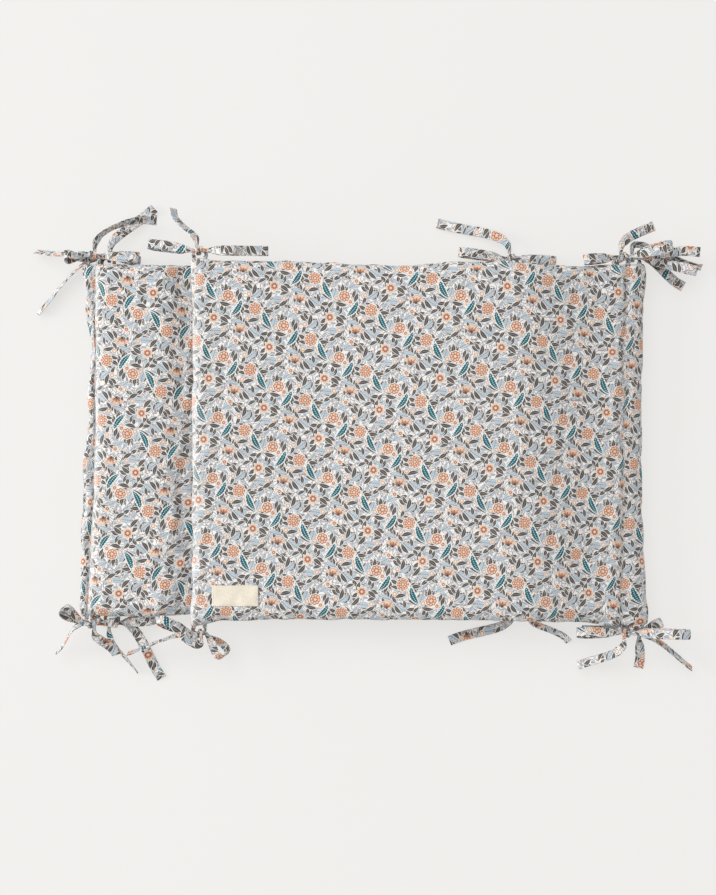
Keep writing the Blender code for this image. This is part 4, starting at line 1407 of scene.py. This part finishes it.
def smooth_route(keys):
    """The strip's middle line at even steps: place, which way its width points, and its width."""
    places = [key[0] for key in keys]
    ways = [keys[0][1]]
    for key in keys[1:]:
        ways.append(key[1] if key[1].dot(ways[-1]) >= 0 else -key[1])
    knots = [0.0]
    for one, two in zip(places, places[1:]):
        knots.append(knots[-1] + math.sqrt((two - one).length))
    route = []
    for i in range(len(keys) - 1):
        steps = max(2, round((places[i + 1] - places[i]).length / TIE_STEP))
        for step in range(steps + (1 if i == len(keys) - 2 else 0)):
            share = step / steps
            place = smooth_place(places, knots, i, share)
            way = ways[i].lerp(ways[i + 1], ease(share))
            width = keys[i][2] + (keys[i + 1][2] - keys[i][2]) * ease(share)
            route.append((place, way, width))
    return route


def build_tie(node, keys, chance):
    """Sweeps the folded strip along its keys: cupped and a little wavy where it's free, pleated
    and fuller where it is gathered. Its UV map is its own flat cloth, in metres."""
    route = smooth_route(keys)
    places = [place for place, _, _ in route]
    run = np.cumsum([0.0] + [(two - one).length for one, two in zip(places, places[1:])])
    waves = ripple(chance, run, TIE_WAVE_SPACING) * TIE_WAVES
    cups = CUPPING_EVEN + (1 - CUPPING_EVEN) * ripple(chance, run, 3 * TIE_WAVE_SPACING)
    cups *= CUPPING * chance.choice((-1, 1))
    phase = chance.uniform(0, TURN)
    section = TIE_SECTION + tuple((-share, -level) for share, level in TIE_SECTION[1:-1])
    print_at = (chance.uniform(*CUT_FROM), chance.uniform(0, 1))
    mesh = bmesh.new()
    flat = mesh.loops.layers.uv.new("cloth")
    rings = []
    for i, (place, way, width) in enumerate(route):
        along = (places[min(i + 1, len(route) - 1)] - places[max(i - 1, 0)]).normalized()
        way = (way - along * way.dot(along)).normalized()
        face = along.cross(way)
        slack = min(max(1 - width / TIE_WIDTH, 0.0), 1.0)
        open_cloth = (1 - slack) ** 2
        thick = TIE_THICK / 2 * (1 + KNOT_FULLER * slack)
        ring = []
        for share, level in section:
            fold = slack * PLEAT_DEEP * math.sin(TURN * PLEATS * share + phase)
            cup = cups[i] * (CUP_RIM - CUP_CURVE * share**2) * open_cloth
            lift = level * thick + fold + cup + waves[i] * open_cloth
            point = place + way * share * width + face * lift
            point.z = max(point.z, TIE_OFF_FLOOR)
            ring.append(mesh.verts.new(point))
        rings.append(ring)
    around = len(section)
    for i in range(len(rings) - 1):
        for k in range(around):
            after = (k + 1) % around
            face = mesh.faces.new((rings[i][k], rings[i][after], rings[i + 1][after], rings[i + 1][k]))
            for loop, (a, b) in zip(face.loops, ((i, k), (i, k + 1), (i + 1, k + 1), (i + 1, k))):
                across = 2 * TIE_WIDTH * b / around
                loop[flat].uv = (run[a] + print_at[0], across + print_at[1])
    for ring in (rings[0], rings[-1]):
        face = mesh.faces.new(ring)
        for loop in face.loops:
            loop[flat].uv = print_at
    tie = finish_piece(node.replace("tie_", "cotton_tie_"), mesh, cotton)
    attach(tie, "root")
    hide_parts(node)
    return tie


def bow_keys(bow):
    """The routes of a bow's two strips: each makes a loop and a tail, and the second also wraps
    once round the knot. Inside the knot they pass at three levels, side by side."""
    knot = Vector(bow.knot)
    upper = knot.y > 0
    out = Vector((0, 1 if upper else -1, 0))
    up = Vector((0, 0, 1))
    right = out.cross(up) * bow.hand
    rim = rim_of(bow.panel, upper)
    low_x = max(knot.x - ROOTS_FROM_KNOT, rim[0].x + ROOTS_FROM_END)
    high_x = min(knot.x + ROOTS_FROM_KNOT, rim[-1].x - ROOTS_FROM_END)
    low_x, high_x = min(low_x, high_x - ROOTS_APART), max(high_x, low_x + ROOTS_APART)

    def at(r, o, u):
        return knot + right * r + out * o + up * u

    def root(sign, level):
        x = high_x if sign * right.x > 0 else low_x
        place = sewn_point(rim, x) + out * SEAM_CLEARANCE
        gap = (knot - place).dot(out)
        keys = [(place - out * 2 * SEAM_TUCK, right, TIE_AT_SEAM)]
        keys.append((place + out * ROOT_STRAIGHT, right, TIE_AT_SEAM))
        if gap > LONG_ROOT:
            hanging = place.lerp(at(sign * ROOT_ASIDE, -ROOT_BELOW, level), ROOT_HANGS_AT)
            keys.append((hanging, right, TIE_AT_SEAM))
        below = min(ROOT_BELOW, gap - 2 * ROOT_STRAIGHT)
        keys.append((at(sign * ROOT_ASIDE, -below, level), right, TIE_IN_KNOT))
        entry = at(sign * ENTRY_ASIDE, -ENTRY_BELOW, level)
        return keys + [(entry, (out + right * sign).normalized(), TIE_IN_KNOT)]

    def through(sign, level):
        return [(at(sign * r, 0, level), out, TIE_IN_KNOT) for r in THROUGH_KNOT]

    first = root(1, -KNOT_LEVEL) + through(1, -KNOT_LEVEL)
    comes_back = at(-KNOT_REACH, 0, 0)
    first += loop_keys(at(-KNOT_REACH, 0, -KNOT_LEVEL), comes_back, bow.loop_a, knot)
    first += [(comes_back, out, TIE_IN_KNOT)] + through(-1, 0.0)
    first += tail_keys(at(KNOT_REACH, 0, 0), right, knot, bow.tail_a)

    second = root(-1, KNOT_LEVEL) + through(-1, KNOT_LEVEL)
    comes_back = at(KNOT_REACH, 0, 2 * KNOT_LEVEL)
    second += loop_keys(at(KNOT_REACH, 0, KNOT_LEVEL), comes_back, bow.loop_b, knot)
    second.append((comes_back, out, TIE_IN_KNOT))
    second.append((at(*WRAP_ENTRY, WRAP_HIGH), (right + out).normalized(), TIE_IN_KNOT))
    for key in range(1, WRAP_KEYS + 1):
        angle = TURN * key / WRAP_KEYS
        across = WRAP_WIDE * signed_power(math.sin(angle), WRAP_POWER)
        rise = WRAP_HIGH * signed_power(math.cos(angle), WRAP_POWER)
        second.append((at(WRAP_PITCH * (0.5 - key / WRAP_KEYS), across, rise), right, TIE_IN_KNOT))
    leaving = at(-WRAP_PITCH * 0.5, *WRAP_LEAVES)
    second.append((leaving, right, TIE_IN_KNOT))
    second += tail_keys(leaving, out, knot, bow.tail_b)
    return first, second


def loose_keys(loose):
    """A strip left untied: it leaves the seam and drops to lie on the floor."""
    seam_place = sewn_point(rim_of("under", False), loose.sewn_at) - Vector((0, SEAM_CLEARANCE, 0))
    way = Vector((1, 0, 0))
    keys = [(seam_place + Vector((0, 2 * SEAM_TUCK, 0)), way, TIE_AT_SEAM)]
    keys.append((seam_place - Vector((0, ROOT_STRAIGHT, 0)), way, TIE_AT_SEAM))
    leaves = direction(loose.leaves) - Vector((0, 0, LOOSE_DROPS))
    return keys + tail_keys(
        seam_place - Vector(LOOSE_STARTS), leaves, seam_place,
        Tail(loose.heading, loose.reach, loose.ends, loose.height, loose.turn, loose.turn),
    )


chance = np.random.default_rng(29)
for name, bow in BOWS.items():
    for letter, keys in zip("ab", bow_keys(bow)):
        build_tie(f"tie_{name}_{letter}", keys, chance)
for name, loose in LOOSE_STRIPS.items():
    build_tie(f"tie_{name}", loose_keys(loose), chance)

# ---------------------------------------------------------------------------------------------
# The floor, the light and the camera: a wide, pale, faintly glowing sheet under soft light from
# all round and from the left, photographed from straight overhead.

FLOOR_WIDE = 8.0
bpy.ops.mesh.primitive_plane_add(size=FLOOR_WIDE)
floor = bpy.context.object
floor.name = "floor"
paper, shader = new_material("pale_floor")
Thread.feed(shader, {
    "Base Color": (0.19, 0.189, 0.185, 1.0),
    "Roughness": 0.9,
    "Specular IOR Level": 0.1,
    "Emission Color": (1.0, 0.99, 0.97, 1.0),
    "Emission Strength": 0.657,
})
floor.data.materials.append(paper)

scene = bpy.context.scene
world = bpy.data.worlds.new("studio")
world.use_nodes = True
Thread.feed(world.node_tree.nodes["Background"], {
    "Color": (1.0, 0.995, 0.985, 1.0),
    "Strength": 0.58,
})
scene.world = world

Light = namedtuple("Light", "name kind place size power")
LIGHTS = (
    Light("overhead", "SUN", (-0.30, 0.42, 0.86), 0.8, 1.30),
    Light("side", "AREA", (-3.00, 0.40, 1.35), 1.4, 60.0),
)
for light in LIGHTS:
    lamp = bpy.data.lights.new(light.name, light.kind)
    if light.kind == "SUN":
        lamp.angle = light.size
    else:
        lamp.size = light.size
    lamp.energy = light.power
    shown = bpy.data.objects.new(light.name, lamp)
    shown.location = light.place
    shown.rotation_euler = (-Vector(light.place)).to_track_quat("-Z", "Y").to_euler()
    scene.collection.objects.link(shown)

CAMERA_PLACE = (-0.0125, -0.0045, 2.0)
CAMERA_LENS = 69.96        # millimetres, as the width of its picture is
PICTURE_WIDE = 36.0
camera_data = bpy.data.cameras.new("camera")
camera_data.lens = CAMERA_LENS
camera_data.sensor_width = PICTURE_WIDE
camera = bpy.data.objects.new("camera", camera_data)
camera.location = CAMERA_PLACE
scene.collection.objects.link(camera)
scene.camera = camera
scene.view_settings.view_transform = "Standard"
